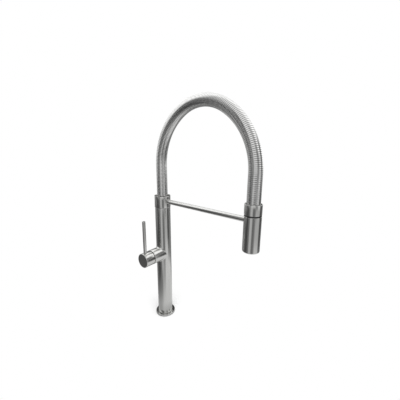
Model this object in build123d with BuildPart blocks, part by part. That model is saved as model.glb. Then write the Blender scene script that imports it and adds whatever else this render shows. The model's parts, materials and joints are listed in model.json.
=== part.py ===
from build123d import *

import os
from math import asin, cos, degrees, radians, sin

# Kitchen mixer tap: a slim column with a side lever, a swivel ring that carries an arched ribbed
# hose and a docking arm, and a pull-out spray head held on the arm by a magnet.
# Millimetres, +Z up. The origin is the centre of the flange's underside, on the worktop.
# The arm and the head point along -Y at rest, and the lever housing along -X.

# ---- Clearances ----
FIT = 0.05  # radial, between a piece and the seat it is soldered, pressed or screwed into
RUNNING = 0.05  # radial, between a turning or sliding piece and its bearing
DOCK_GAP = 0.3  # between the arm's end and the head that rests against it
TURN_GAP = 0.4  # between the column and the turning ring above it

# ---- Column ----
COLUMN_RADIUS = 17.5
COLUMN_WALL = 1.5
RIM_HEIGHT = 304.0  # top rim of the swivel ring
RING_HEIGHT = 26.5
RING_RADIUS = 18.1
FLANGE_RADIUS = 23.7
FLANGE_HEIGHT = 4.5
FLANGE_EDGE = 0.8
GASKET_INNER_RADIUS = 19.5
GASKET_OUTER_RADIUS = 22.3
GASKET_HEIGHT = 1.2

# ---- Foot: one fixing stud and two supply hoses screw into it ----
FOOT_HEIGHT = 22.0
STUD_HOLE_RADIUS = 3.4  # tapped M8
INLET_HOLE_RADIUS = 4.5  # tapped M10 x 1
INLET_DEPTH = 10.0
INLET_WATERWAY_RADIUS = 3.0
PIPE_SHOULDER = 4.0  # metal between an inlet and the pipe socket above it
PIPE_OUT = 7.0  # supply pipes stand this far towards the lever
PIPE_APART = 15.0
PIPE_RADIUS = 4.0
PIPE_WALL = 1.0
OUTLET_PIPE_RADIUS = 6.0
OUTLET_SHOULDER = 1.5

# ---- Lever housing and knob, along the handle axis; "out" is measured from the column's axis ----
HANDLE_HEIGHT = 164.4
HOUSING_RADIUS = 16.2
HOUSING_WALL = 1.5
HOUSING_OUT = 39.7
HOUSING_WELD = 4.0  # radius of the polished weld between housing and column
KNOB_GAP = 0.8
KNOB_LENGTH = 22.6
KNOB_WALL = 1.8
KNOB_LIP = 2.2  # inside bevel of the knob's rim, which lets it tip over the housing
KNOB_POCKET = 7.0
KNOB_EDGE = 1.0
LEVER_OUT = 55.2
LEVER_RADIUS = 3.5
LEVER_LENGTH = 74.0  # above the knob
LEVER_EDGE = 0.5
LEVER_THREAD_RADIUS = 2.5
LEVER_THREAD_END = 5.0  # above the handle axis
GRUB_OUT = 50.0
GRUB_RADIUS = 2.0
GRUB_LENGTH = 6.0

# ---- Valve body and its ceramic cartridge ----
VALVE_RADIUS = 14.4
PIPE_STOP = 4.5  # the pipes end this far below the handle axis
POCKET_FLOOR = 13.0
CARTRIDGE_RADIUS = 12.5
NUT_THREAD_RADIUS = 13.4
NUT_OUT = 35.0
NUT_LENGTH = 3.8
NUT_BORE_RADIUS = 9.6
VALVE_END_GAP = 0.5  # valve body ends this far inside the housing
SPANNER_SLOT_WIDTH = 3.0
SPANNER_SLOT_DEPTH = 1.5
PORT_CIRCLE_RADIUS = 5.8
PORT_ANGLE = 27.0  # inlet ports, below the level of the axis
PORT_RADIUS = 2.2
CARTRIDGE_BASE_LENGTH = 2.5
SEAL_THICKNESS = 0.8
SEAL_RADIUS = 9.0
DISC_RADIUS = 10.2
DISC_THICKNESS = 2.5
SLIDE_DISC_RADIUS = 8.1
SLIDE_DISC_THICKNESS = 2.5
MIXING_DEPTH = 1.2
CARRIER_LENGTH = 4.0
CASE_WALL = 2.0
MOUTH_LENGTH = 3.7
GUIDE_GAP = 0.3
GUIDE_FLANGE_LENGTH = 6.2
GUIDE_NECK_RADIUS = 8.6
GUIDE_LENGTH = 11.7
PIVOT_OUT = 28.0
PIVOT_PIN_RADIUS = 1.5
PIVOT_PIN_LENGTH = 17.0
STEM_WIDTH = 6.0
STEM_NECK_RADIUS = 1.5
STEM_START = 26.0
STEM_OUT = 54.0
GUIDE_CHAMBER_RADIUS = 5.4
GUIDE_CHAMBER_LENGTH = 1.6
KNOB_BOSS_RADIUS = 7.0
KNOB_BOSS_LENGTH = 2.0
LEVER_SINK = 3.0  # depth of the lever's seat in the knob
HEX_RADIUS = 1.1
HEX_DEPTH = 2.5
BALL_OUT = 23.4
BALL_RADIUS = 2.5
BALL_GAP = 0.15
SLOT_UP = 3.8  # room for the stem in the guide, above and below the axis
SLOT_DOWN = 7.4

# ---- Neck and swivel ring ----
NECK_PLUG_LENGTH = 27.0
NECK_RADIUS = 8.5
NECK_LENGTH = 14.9
NECK_WATERWAY_RADIUS = 5.0
PIPE_SOCKET_DEPTH = 8.0
BUSH_RADIUS = 10.5
BUSH_LENGTH = 3.5
SEAL_ZONE_RADIUS = 9.6
SEAL_ZONE_LENGTH = 6.0
O_RING_WIDTH = 1.8
O_RING_GROOVE_DEPTH = 1.3
CLIP_THICKNESS = 1.0
CLIP_DEPTH = 0.9
CLIP_RADIUS = 9.9
CLIP_OPENING = 4.0
UPPER_BUSH_LENGTH = 2.6
CUP_DEPTH = 6.0
CUP_WALL = 1.8
WASHER_RADIUS = 14.5

# ---- Hose ----
REACH = 227.7
LEG_HEIGHT = 68.8  # from the ring's rim to where the straight legs turn into the arch
ARCH_STILT = 9.65  # how much the arch is higher than half its span
CROWN_TRIM = 13.85  # how much the crown's radius is less than half the span
HOSE_RADIUS = 12.0
HOSE_ROOT_RADIUS = 11.3
HOSE_BORE_RADIUS = 9.7
HOSE_RIBS = 165
GROOVE_MOUTH = 0.24  # the groove's width at the crests, as a share of the pitch
GROOVE_FLOOR = 0.1  # and at its root
HOSE_SPANS = 24  # the smooth bores and the inner hose are drawn in this many spans
INNER_HOSE_RADIUS = 7.0
INNER_HOSE_BORE_RADIUS = 4.9
BARB_LENGTH = 16.0
BARB_WATERWAY_RADIUS = 3.2
CRIMP_WALL = 0.8
CRIMP_LENGTH = 13.0
CRIMP_OFFSET = 1.5
UNION_FLANGE_HEIGHT = 1.2
COLLAR_FLOOR = 1.0
COLLAR_WALL = 1.2
COLLAR_HEIGHT = 4.0
UNION_GAP = 0.6
COLLAR_GAP = 0.15

# ---- Docking arm ----
ARM_DROP = 12.0  # from the ring's rim down to the arm's axis
ARM_RADIUS = 4.9
ARM_STUD_RADIUS = 3.0
ARM_STUD_LENGTH = 5.0
MAGNET_RADIUS = 3.5
MAGNET_LENGTH = 5.0

# ---- Spray head ----
HEAD_RADIUS = 15.2
HEAD_WALL = 1.3
SHELL_LENGTH = 64.5
HEAD_FLOOR = 3.0
HEAD_ROUNDING = 2.4
SLEEVE_HEIGHT = 18.3
SLEEVE_CUP_DEPTH = 10.5
SLEEVE_WALL = 1.5
SLEEVE_BORE_RADIUS = 9.0
BLACK_RING_HEIGHT = 2.4
BLACK_RING_RADIUS = 14.9
HEAD_GAP = 0.3
SPIGOT_RADIUS = 6.5
SPIGOT_LENGTH = 19.5
SPIGOT_CLIP_RADIUS = 8.2
SPIGOT_CLIP_THICKNESS = 1.2
SPIGOT_CLIP_GAP = 0.1
SPIGOT_O_RING_DROP = 15.5
CLIP_ROOM = 0.2
CORE_WATERWAY_RADIUS = 5.0
RETAINER_RADIUS = 11.0
RETAINER_HEIGHT = 4.5
MIXING_CHAMBER_RADIUS = 11.8
MIXING_CHAMBER_HEIGHT = 9.4
VALVE_CHAMBER_DROP = 4.2  # below the spigot's end
VALVE_CHAMBER_RADIUS = 6.5
VALVE_SEAT_RADIUS = 3.5
VALVE_CAGE_LENGTH = 14.0
VALVE_CAGE_WALL = 1.4
VALVE_CAGE_FLOOR = 2.0
POPPET_RADIUS = 4.3
POPPET_HEIGHT = 2.0
POPPET_STEM_RADIUS = 1.1
POPPET_STEM_LENGTH = 10.0
SPRING_RADIUS = 2.4
SPRING_WIRE = 0.6
SPRING_CURLS = 4
CAGE_HOLE_RADIUS = 1.0
CAGE_HOLE_CIRCLE = 3.2
CAGE_HOLES = 4
PLATE_HOLE_CIRCLE = 6.9
PLATE_HOLES = 6
AERATOR_MESH = 1.6
AERATOR_CELLS = 3
NOZZLE_TIP_GAP = 0.1
STRIKE_HEIGHT = 12.0
STRIKE_THICKNESS = 0.8
STRIKE_MARGIN = 3.0  # shell above the strike band
CORE_WALL_GAP = 0.1
FACE_RADIUS = 10.6
FACE_RECESS = 0.6
FACE_FLANGE = 1.6
NOZZLE_RADIUS = 0.6
NOZZLE_SIDES = 6
NOZZLE_TIP_RADIUS = 1.1
NOZZLE_RINGS = ((5, 5.4), (9, 8.3))  # how many nozzles, on what circle radius
AERATOR_RADIUS = 3.2
PLATE_THICKNESS = 1.5
PLATE_HOLE_RADIUS = 1.2

# ---- Heights and places that follow from the sizes above ----
COLUMN_BORE = COLUMN_RADIUS - COLUMN_WALL
RING_BOTTOM = RIM_HEIGHT - RING_HEIGHT
COLUMN_TOP = RING_BOTTOM - TURN_GAP
CUP_FLOOR = RIM_HEIGHT - CUP_DEPTH
PIPE_BOTTOM = INLET_DEPTH + PIPE_SHOULDER
KNOB_OUT = HOUSING_OUT + KNOB_GAP
KNOB_END = KNOB_OUT + KNOB_LENGTH
VALVE_OUT = HOUSING_OUT - VALVE_END_GAP
BASE_END = POCKET_FLOOR + CARTRIDGE_BASE_LENGTH
DISC_END = BASE_END + DISC_THICKNESS
SLIDE_DISC_END = DISC_END + SLIDE_DISC_THICKNESS
CARRIER_END = SLIDE_DISC_END + CARRIER_LENGTH
GUIDE_START = CARRIER_END + GUIDE_GAP
MOUTH_START = NUT_OUT - MOUTH_LENGTH
CASE_BORE = CARTRIDGE_RADIUS - CASE_WALL
SPRING_HEIGHT = RIM_HEIGHT + LEG_HEIGHT
CROWN_RADIUS = REACH / 2 - CROWN_TRIM
ARM_HEIGHT = RIM_HEIGHT - ARM_DROP
STRIKE_BOTTOM = ARM_HEIGHT - STRIKE_HEIGHT / 2
STRIKE_TOP = ARM_HEIGHT + STRIKE_HEIGHT / 2
SHELL_TOP = STRIKE_TOP + STRIKE_MARGIN
HEAD_BOTTOM = SHELL_TOP - SHELL_LENGTH
HEAD_SEAM = SHELL_TOP + HEAD_GAP + BLACK_RING_HEIGHT
HEAD_TOP = HEAD_SEAM + SLEEVE_HEIGHT
SLEEVE_FLOOR = HEAD_TOP - SLEEVE_CUP_DEPTH
HOSE_START = CUP_FLOOR + COLLAR_FLOOR + UNION_FLANGE_HEIGHT
HOSE_END = SLEEVE_FLOOR + COLLAR_FLOOR + UNION_FLANGE_HEIGHT
SPIGOT_BOTTOM = HEAD_SEAM - SPIGOT_LENGTH
VALVE_CHAMBER_TOP = SPIGOT_BOTTOM - VALVE_CHAMBER_DROP
CORE_RADIUS = HEAD_RADIUS - HEAD_WALL - CORE_WALL_GAP
FLOOR_TOP = HEAD_BOTTOM + HEAD_FLOOR
PORT_SIDE = PORT_CIRCLE_RADIUS * cos(radians(PORT_ANGLE))
PORT_DROP = PORT_CIRCLE_RADIUS * sin(radians(PORT_ANGLE))
OUTLET_HEIGHT = HANDLE_HEIGHT + PORT_CIRCLE_RADIUS
OUTLET_SOCKET = OUTLET_HEIGHT + PORT_RADIUS + OUTLET_SHOULDER
INLET_PORTS = ((-PORT_SIDE, -PORT_DROP), (PORT_SIDE, -PORT_DROP))
OUTLET_PORT = (0, PORT_CIRCLE_RADIUS)
PIPE_PLACES = ((-PIPE_OUT, -PIPE_APART / 2), (-PIPE_OUT, PIPE_APART / 2))
LEVER_SEAT = HOUSING_RADIUS - LEVER_SINK
COLLAR_BORE = HOSE_RADIUS + COLLAR_GAP
CRIMP_RADIUS = INNER_HOSE_RADIUS + FIT + CRIMP_WALL
MAGNET_OUT = REACH - HEAD_RADIUS - DOCK_GAP - MAGNET_LENGTH
CORE_BOTTOM = FLOOR_TOP + FACE_FLANGE + PLATE_THICKNESS
SPIGOT_CLIP_LOW = SHELL_TOP - RETAINER_HEIGHT - SPIGOT_CLIP_GAP - SPIGOT_CLIP_THICKNESS
SPIGOT_RING_LOW = HEAD_SEAM - SPIGOT_O_RING_DROP
CAGE_BOTTOM = VALVE_CHAMBER_TOP - VALVE_CAGE_LENGTH
POPPET_TOP = VALVE_CHAMBER_TOP - VALVE_CAGE_FLOOR
SPRING_BOTTOM = CAGE_BOTTOM + VALVE_CAGE_FLOOR
SPRING_TOP = POPPET_TOP - POPPET_HEIGHT
NECK_TOP = COLUMN_TOP + NECK_LENGTH
NECK_BOTTOM = COLUMN_TOP - NECK_PLUG_LENGTH
SEAL_ZONE_START = RING_BOTTOM + BUSH_LENGTH
SEAL_ZONE_END = SEAL_ZONE_START + SEAL_ZONE_LENGTH
CLIP_START = SEAL_ZONE_END + UPPER_BUSH_LENGTH + RUNNING
O_RING_HEIGHTS = (
    SEAL_ZONE_START + SEAL_ZONE_LENGTH / 4,
    SEAL_ZONE_END - SEAL_ZONE_LENGTH / 4,
)

HANDLE_AXIS = Axis((0, 0, HANDLE_HEIGHT), (-1, 0, 0))
HEAD_AXIS = Axis((0, -REACH, 0), (0, 0, 1))
# In the side plane x runs out along the handle axis and y runs up.
SIDE = Plane(origin=(0, 0, HANDLE_HEIGHT), x_dir=(-1, 0, 0), z_dir=(0, 1, 0))
HEAD_SIDE = Plane(origin=(0, -REACH, 0), x_dir=(1, 0, 0), z_dir=(0, -1, 0))
HEAD_CENTRE = Plane(origin=(0, -REACH, 0))
PIVOT_PLANE = Plane(origin=(-PIVOT_OUT, 0, HANDLE_HEIGHT), x_dir=(1, 0, 0), z_dir=(0, -1, 0))
LEVER_PLANE = Plane(origin=(-LEVER_OUT, 0, HANDLE_HEIGHT))
GRUB_PLANE = Plane(origin=(-GRUB_OUT, 0, HANDLE_HEIGHT))
ARM_PLANE = Plane(origin=(0, 0, ARM_HEIGHT), x_dir=(1, 0, 0), z_dir=(0, -1, 0))


def across(out):
    """The plane square to the handle axis, this far out from the column's axis, with y up."""
    return Plane(origin=(-out, 0, HANDLE_HEIGHT), x_dir=(0, -1, 0), z_dir=(-1, 0, 0))


def over_head(height):
    """The level plane at this height, centred on the spray head's axis."""
    return HEAD_CENTRE.offset(height)


def half_section(points, plane=Plane.XZ):
    """A half section drawn through its corners, to be revolved."""
    with BuildSketch(plane, mode=Mode.PRIVATE) as section:
        with BuildLine():
            Polyline(*points, close=True)
        make_face()
    return section.sketch


def wall(inner, outer, low, high):
    """The corners of a plain ring's half section."""
    return [(inner, low), (outer, low), (outer, high), (inner, high)]


def side_wall(inner, outer, start, end):
    """The same for a ring round the handle axis, from one distance out to another."""
    return [(start, inner), (end, inner), (end, outer), (start, outer)]


def seal_ring(inner, outer, height, width):
    """The corners of a seal ring's section, with its two outer edges cut off."""
    cut = width / 4
    low, high = height - width / 2, height + width / 2
    return [
        (inner, low),
        (outer - cut, low),
        (outer, low + cut),
        (outer, high - cut),
        (outer - cut, high),
        (inner, high),
    ]


def hose_route(start_height, end_height):
    """The hose's centreline: a straight leg, a three-centred arch and a straight leg down."""
    crown_rise = ARCH_STILT + CROWN_TRIM
    offset = (crown_rise**2 + CROWN_TRIM**2) / (2 * CROWN_TRIM)
    haunch_turn = degrees(asin(crown_rise / offset))
    haunch_radius = CROWN_RADIUS + offset
    with BuildLine(Plane.YZ, mode=Mode.PRIVATE) as route:
        rear_leg = Line((0, start_height), (0, SPRING_HEIGHT))
        rear = JernArc(rear_leg @ 1, rear_leg % 1, haunch_radius, haunch_turn)
        crown = JernArc(rear @ 1, rear % 1, CROWN_RADIUS, 180 - 2 * haunch_turn)
        front = JernArc(crown @ 1, crown % 1, haunch_radius, haunch_turn)
        Line(front @ 1, (-REACH, end_height))
    return route.wire()


def hose_cut(route, share, radius):
    """A circle square to the hose's route, this share of the way along it."""
    plane = Plane(route @ share, x_dir=(1, 0, 0), z_dir=route % share)
    with BuildSketch(plane, mode=Mode.PRIVATE) as cut:
        Circle(radius)
    return cut.sketch


def smooth_hose(route, radius):
    """The circles of a smooth hose or bore of this radius along the route."""
    return [hose_cut(route, span / HOSE_SPANS, radius) for span in range(HOSE_SPANS + 1)]


os.makedirs("parts", exist_ok=True)

# ======== Foot and column ========

with BuildPart() as base_flange:
    revolve(half_section(wall(COLUMN_RADIUS + FIT, FLANGE_RADIUS, 0, FLANGE_HEIGHT)))
    rim = base_flange.edges().filter_by(GeomType.CIRCLE).group_by(Axis.Z)[-1]
    chamfer(rim.sort_by(SortBy.RADIUS)[-1], FLANGE_EDGE)
    groove = wall(GASKET_INNER_RADIUS, GASKET_OUTER_RADIUS, 0, GASKET_HEIGHT)
    revolve(half_section(groove), mode=Mode.SUBTRACT)
base_flange.part.label = "base_flange"
export_step(base_flange.part, "parts/base_flange.step")

with BuildPart() as base_gasket:
    seat = wall(GASKET_INNER_RADIUS + FIT, GASKET_OUTER_RADIUS - FIT, 0, GASKET_HEIGHT)
    revolve(half_section(seat))
base_gasket.part.label = "base_gasket"
export_step(base_gasket.part, "parts/base_gasket.step")

# The foot closes the column. Stud hole in the middle, supply inlets and pipe sockets beside it.
with BuildPart() as foot_bush:
    with BuildSketch():
        Circle(COLUMN_BORE - FIT)
        Circle(STUD_HOLE_RADIUS, mode=Mode.SUBTRACT)
    extrude(amount=FOOT_HEIGHT)
    with BuildSketch():
        with Locations((-PIPE_OUT, PIPE_APART / 2), (-PIPE_OUT, -PIPE_APART / 2)):
            Circle(INLET_HOLE_RADIUS)
    extrude(amount=INLET_DEPTH, mode=Mode.SUBTRACT)
    with BuildSketch():
        with Locations((-PIPE_OUT, PIPE_APART / 2), (-PIPE_OUT, -PIPE_APART / 2)):
            Circle(INLET_WATERWAY_RADIUS)
    extrude(amount=FOOT_HEIGHT, mode=Mode.SUBTRACT)
    with BuildSketch(Plane.XY.offset(PIPE_BOTTOM)):
        with Locations((-PIPE_OUT, PIPE_APART / 2), (-PIPE_OUT, -PIPE_APART / 2)):
            Circle(PIPE_RADIUS + FIT)
    extrude(amount=FOOT_HEIGHT - PIPE_BOTTOM, mode=Mode.SUBTRACT)
foot_bush.part.label = "foot_bush"
export_step(foot_bush.part, "parts/foot_bush.step")

with BuildPart() as column_tube:
    revolve(half_section(wall(COLUMN_BORE, COLUMN_RADIUS, 0, COLUMN_TOP)))
    with BuildSketch(across(0)):
        Circle(VALVE_RADIUS + FIT)
    extrude(amount=HOUSING_OUT, mode=Mode.SUBTRACT)
column_tube.part.label = "column_tube"
export_step(column_tube.part, "parts/column_tube.step")

# The housing's weld to the column is polished to a fillet, and its end is a saddle on the column.
with BuildPart() as valve_housing:
    weld_reach = HOUSING_RADIUS + 2 * HOUSING_WELD
    with BuildSketch(Plane.XY.offset(HANDLE_HEIGHT - weld_reach)):
        Circle(COLUMN_RADIUS)
    extrude(amount=2 * weld_reach)
    with BuildSketch(across(0)):
        Circle(HOUSING_RADIUS)
    extrude(amount=HOUSING_OUT)
    fillet(valve_housing.edges().filter_by(GeomType.BSPLINE), HOUSING_WELD)
    with BuildSketch(across(0)):
        Circle(HOUSING_RADIUS - HOUSING_WALL)
    extrude(amount=HOUSING_OUT, mode=Mode.SUBTRACT)
    with BuildSketch():
        Circle(COLUMN_RADIUS)
    extrude(amount=COLUMN_TOP, mode=Mode.SUBTRACT)
valve_housing.part.label = "valve_housing"
export_step(valve_housing.part, "parts/valve_housing.step")

# The valve body slides in from the side. Its back is rounded to the column's bore, the supply
# pipes enter from below and the mixed water leaves through the top.
with BuildPart() as valve_body:
    with BuildSketch(Plane.XY.offset(HANDLE_HEIGHT - VALVE_RADIUS)):
        Circle(COLUMN_BORE - FIT)
    extrude(amount=2 * VALVE_RADIUS)
    with BuildSketch(across(-COLUMN_RADIUS)):
        Circle(VALVE_RADIUS)
    extrude(amount=2 * COLUMN_RADIUS, mode=Mode.INTERSECT)
    with BuildSketch(across(0)):
        Circle(VALVE_RADIUS)
    extrude(amount=VALVE_OUT)
    with BuildSketch(across(POCKET_FLOOR)):
        Circle(CARTRIDGE_RADIUS + FIT)
    extrude(amount=VALVE_OUT - POCKET_FLOOR, mode=Mode.SUBTRACT)
    with BuildSketch(across(NUT_OUT)):
        Circle(NUT_THREAD_RADIUS + FIT)
    extrude(amount=VALVE_OUT - NUT_OUT, mode=Mode.SUBTRACT)
    # Level runs from the pocket's floor: two back over the supply pipes, one over the outlet.
    with BuildSketch(across(PIPE_OUT)):
        with Locations(*INLET_PORTS):
            Circle(PORT_RADIUS)
    extrude(amount=POCKET_FLOOR - PIPE_OUT, mode=Mode.SUBTRACT)
    with BuildSketch(across(0)):
        with Locations(OUTLET_PORT):
            Circle(PORT_RADIUS)
    extrude(amount=POCKET_FLOOR, mode=Mode.SUBTRACT)
    # Pipe sockets and the upright waterways above and below them.
    with BuildSketch(Plane.XY.offset(HANDLE_HEIGHT - VALVE_RADIUS)):
        with Locations(*PIPE_PLACES):
            Circle(PIPE_RADIUS + FIT)
    extrude(amount=VALVE_RADIUS - PIPE_STOP, mode=Mode.SUBTRACT)
    with BuildSketch(Plane.XY.offset(HANDLE_HEIGHT - PIPE_STOP)):
        with Locations(*PIPE_PLACES):
            Circle(PIPE_RADIUS - PIPE_WALL)
    extrude(amount=PIPE_STOP - PORT_DROP, mode=Mode.SUBTRACT)
    with BuildSketch(Plane.XY.offset(OUTLET_HEIGHT)):
        Circle(OUTLET_PIPE_RADIUS - PIPE_WALL)
    extrude(amount=OUTLET_SOCKET - OUTLET_HEIGHT, mode=Mode.SUBTRACT)
    with BuildSketch(Plane.XY.offset(OUTLET_SOCKET)):
        Circle(OUTLET_PIPE_RADIUS + FIT)
    extrude(amount=VALVE_RADIUS, mode=Mode.SUBTRACT)
valve_body.part.label = "valve_body"
export_step(valve_body.part, "parts/valve_body.step")

with BuildPart() as cold_pipe:
    with BuildSketch(Plane.XY.offset(PIPE_BOTTOM)):
        with Locations(PIPE_PLACES[0]):
            Circle(PIPE_RADIUS)
            Circle(PIPE_RADIUS - PIPE_WALL, mode=Mode.SUBTRACT)
    extrude(amount=HANDLE_HEIGHT - PIPE_STOP - PIPE_BOTTOM)
cold_pipe.part.label = "cold_pipe"
export_step(cold_pipe.part, "parts/cold_pipe.step")

with BuildPart() as hot_pipe:
    with BuildSketch(Plane.XY.offset(PIPE_BOTTOM)):
        with Locations(PIPE_PLACES[1]):
            Circle(PIPE_RADIUS)
            Circle(PIPE_RADIUS - PIPE_WALL, mode=Mode.SUBTRACT)
    extrude(amount=HANDLE_HEIGHT - PIPE_STOP - PIPE_BOTTOM)
hot_pipe.part.label = "hot_pipe"
export_step(hot_pipe.part, "parts/hot_pipe.step")

with BuildPart() as outlet_pipe:
    with BuildSketch(Plane.XY.offset(OUTLET_SOCKET)):
        Circle(OUTLET_PIPE_RADIUS)
        Circle(OUTLET_PIPE_RADIUS - PIPE_WALL, mode=Mode.SUBTRACT)
    extrude(amount=NECK_BOTTOM + PIPE_SOCKET_DEPTH - OUTLET_SOCKET)
outlet_pipe.part.label = "outlet_pipe"
export_step(outlet_pipe.part, "parts/outlet_pipe.step")

# ======== Ceramic cartridge ========

with BuildPart() as cartridge_base:
    with BuildSketch(across(POCKET_FLOOR)):
        Circle(CARTRIDGE_RADIUS)
        with Locations(*INLET_PORTS, OUTLET_PORT):
            Circle(PORT_RADIUS, mode=Mode.SUBTRACT)
    extrude(amount=CARTRIDGE_BASE_LENGTH)
    with BuildSketch(across(POCKET_FLOOR)):
        Circle(SEAL_RADIUS + FIT)
    extrude(amount=SEAL_THICKNESS, mode=Mode.SUBTRACT)
cartridge_base.part.label = "cartridge_base"
export_step(cartridge_base.part, "parts/cartridge_base.step")

with BuildPart() as cartridge_seal:
    with BuildSketch(across(POCKET_FLOOR)):
        Circle(SEAL_RADIUS)
        with Locations(*INLET_PORTS, OUTLET_PORT):
            Circle(PORT_RADIUS, mode=Mode.SUBTRACT)
    extrude(amount=SEAL_THICKNESS)
cartridge_seal.part.label = "cartridge_seal"
export_step(cartridge_seal.part, "parts/cartridge_seal.step")

with BuildPart() as fixed_disc:
    with BuildSketch(across(BASE_END)):
        Circle(DISC_RADIUS)
        with Locations(*INLET_PORTS, OUTLET_PORT):
            Circle(PORT_RADIUS, mode=Mode.SUBTRACT)
    extrude(amount=DISC_THICKNESS)
fixed_disc.part.label = "fixed_disc"
export_step(fixed_disc.part, "parts/fixed_disc.step")

# The moving disc's blind pocket joins the ports as the disc slides up and turns.
with BuildPart() as moving_disc:
    with BuildSketch(across(DISC_END)):
        Circle(SLIDE_DISC_RADIUS)
    extrude(amount=SLIDE_DISC_THICKNESS)
    with BuildSketch(across(DISC_END)):
        with Locations((0, PORT_CIRCLE_RADIUS / 2)):
            SlotCenterToCenter(PORT_CIRCLE_RADIUS, 2 * PORT_RADIUS, rotation=90)
    extrude(amount=MIXING_DEPTH, mode=Mode.SUBTRACT)
moving_disc.part.label = "moving_disc"
export_step(moving_disc.part, "parts/moving_disc.step")

with BuildPart() as disc_carrier:
    with BuildSketch(across(SLIDE_DISC_END)):
        Circle(SLIDE_DISC_RADIUS)
    extrude(amount=CARRIER_LENGTH)
    with BuildSketch(across(BALL_OUT - BALL_RADIUS - BALL_GAP)):
        Circle(BALL_RADIUS + BALL_GAP)
    extrude(amount=CARRIER_LENGTH, mode=Mode.SUBTRACT)
disc_carrier.part.label = "disc_carrier"
export_step(disc_carrier.part, "parts/disc_carrier.step")

with BuildPart() as cartridge_case:
    revolve(
        half_section(side_wall(CASE_BORE, CARTRIDGE_RADIUS, BASE_END, NUT_OUT), SIDE),
        axis=HANDLE_AXIS,
    )
    mouth = side_wall(GUIDE_NECK_RADIUS + RUNNING, CASE_BORE, MOUTH_START, NUT_OUT)
    revolve(half_section(mouth, SIDE), axis=HANDLE_AXIS)
cartridge_case.part.label = "cartridge_case"
export_step(cartridge_case.part, "parts/cartridge_case.step")

# The guide turns in the case for the temperature and carries the pin that the stem tips on.
with BuildPart() as turn_guide:
    with BuildSketch(across(GUIDE_START)):
        Circle(CASE_BORE - GUIDE_GAP)
    extrude(amount=GUIDE_FLANGE_LENGTH)
    with BuildSketch(across(GUIDE_START)):
        Circle(GUIDE_NECK_RADIUS)
    extrude(amount=GUIDE_LENGTH)
    with BuildSketch(across(GUIDE_START)):
        with Locations((0, (SLOT_UP - SLOT_DOWN) / 2)):
            Rectangle(STEM_WIDTH + 2 * RUNNING, SLOT_UP + SLOT_DOWN)
    extrude(amount=GUIDE_LENGTH, mode=Mode.SUBTRACT)
    with BuildSketch(across(GUIDE_START)):
        Circle(GUIDE_CHAMBER_RADIUS)
    extrude(amount=GUIDE_CHAMBER_LENGTH, mode=Mode.SUBTRACT)
    with BuildSketch(PIVOT_PLANE):
        Circle(PIVOT_PIN_RADIUS + FIT)
    extrude(amount=PIVOT_PIN_LENGTH / 2, both=True, mode=Mode.SUBTRACT)
turn_guide.part.label = "turn_guide"
export_step(turn_guide.part, "parts/turn_guide.step")

with BuildPart() as pivot_pin:
    with BuildSketch(PIVOT_PLANE):
        Circle(PIVOT_PIN_RADIUS)
    extrude(amount=PIVOT_PIN_LENGTH / 2, both=True)
pivot_pin.part.label = "pivot_pin"
export_step(pivot_pin.part, "parts/pivot_pin.step")

# The stem: a square bar that carries the knob, an eye for the pin and a ball in the carrier.
with BuildPart() as cartridge_stem:
    with BuildSketch(across(STEM_START)):
        Rectangle(STEM_WIDTH, STEM_WIDTH)
    extrude(amount=STEM_OUT - STEM_START)
    with BuildSketch(across(BALL_OUT)):
        Circle(STEM_NECK_RADIUS)
    extrude(amount=STEM_START - BALL_OUT)
    with Locations((-BALL_OUT, 0, HANDLE_HEIGHT)):
        Sphere(BALL_RADIUS)
    with BuildSketch(PIVOT_PLANE):
        Circle(PIVOT_PIN_RADIUS + RUNNING)
    extrude(amount=STEM_WIDTH, both=True, mode=Mode.SUBTRACT)
cartridge_stem.part.label = "cartridge_stem"
export_step(cartridge_stem.part, "parts/cartridge_stem.step")

with BuildPart() as cartridge_nut:
    nut = side_wall(NUT_BORE_RADIUS, NUT_THREAD_RADIUS, NUT_OUT, NUT_OUT + NUT_LENGTH)
    revolve(half_section(nut, SIDE), axis=HANDLE_AXIS)
    with BuildSketch(across(NUT_OUT + NUT_LENGTH - SPANNER_SLOT_DEPTH)):
        Rectangle(2 * NUT_THREAD_RADIUS, SPANNER_SLOT_WIDTH)
        Rectangle(SPANNER_SLOT_WIDTH, 2 * NUT_THREAD_RADIUS)
    extrude(amount=SPANNER_SLOT_DEPTH, mode=Mode.SUBTRACT)
cartridge_nut.part.label = "cartridge_nut"
export_step(cartridge_nut.part, "parts/cartridge_nut.step")

# ======== Knob and lever ========

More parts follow.
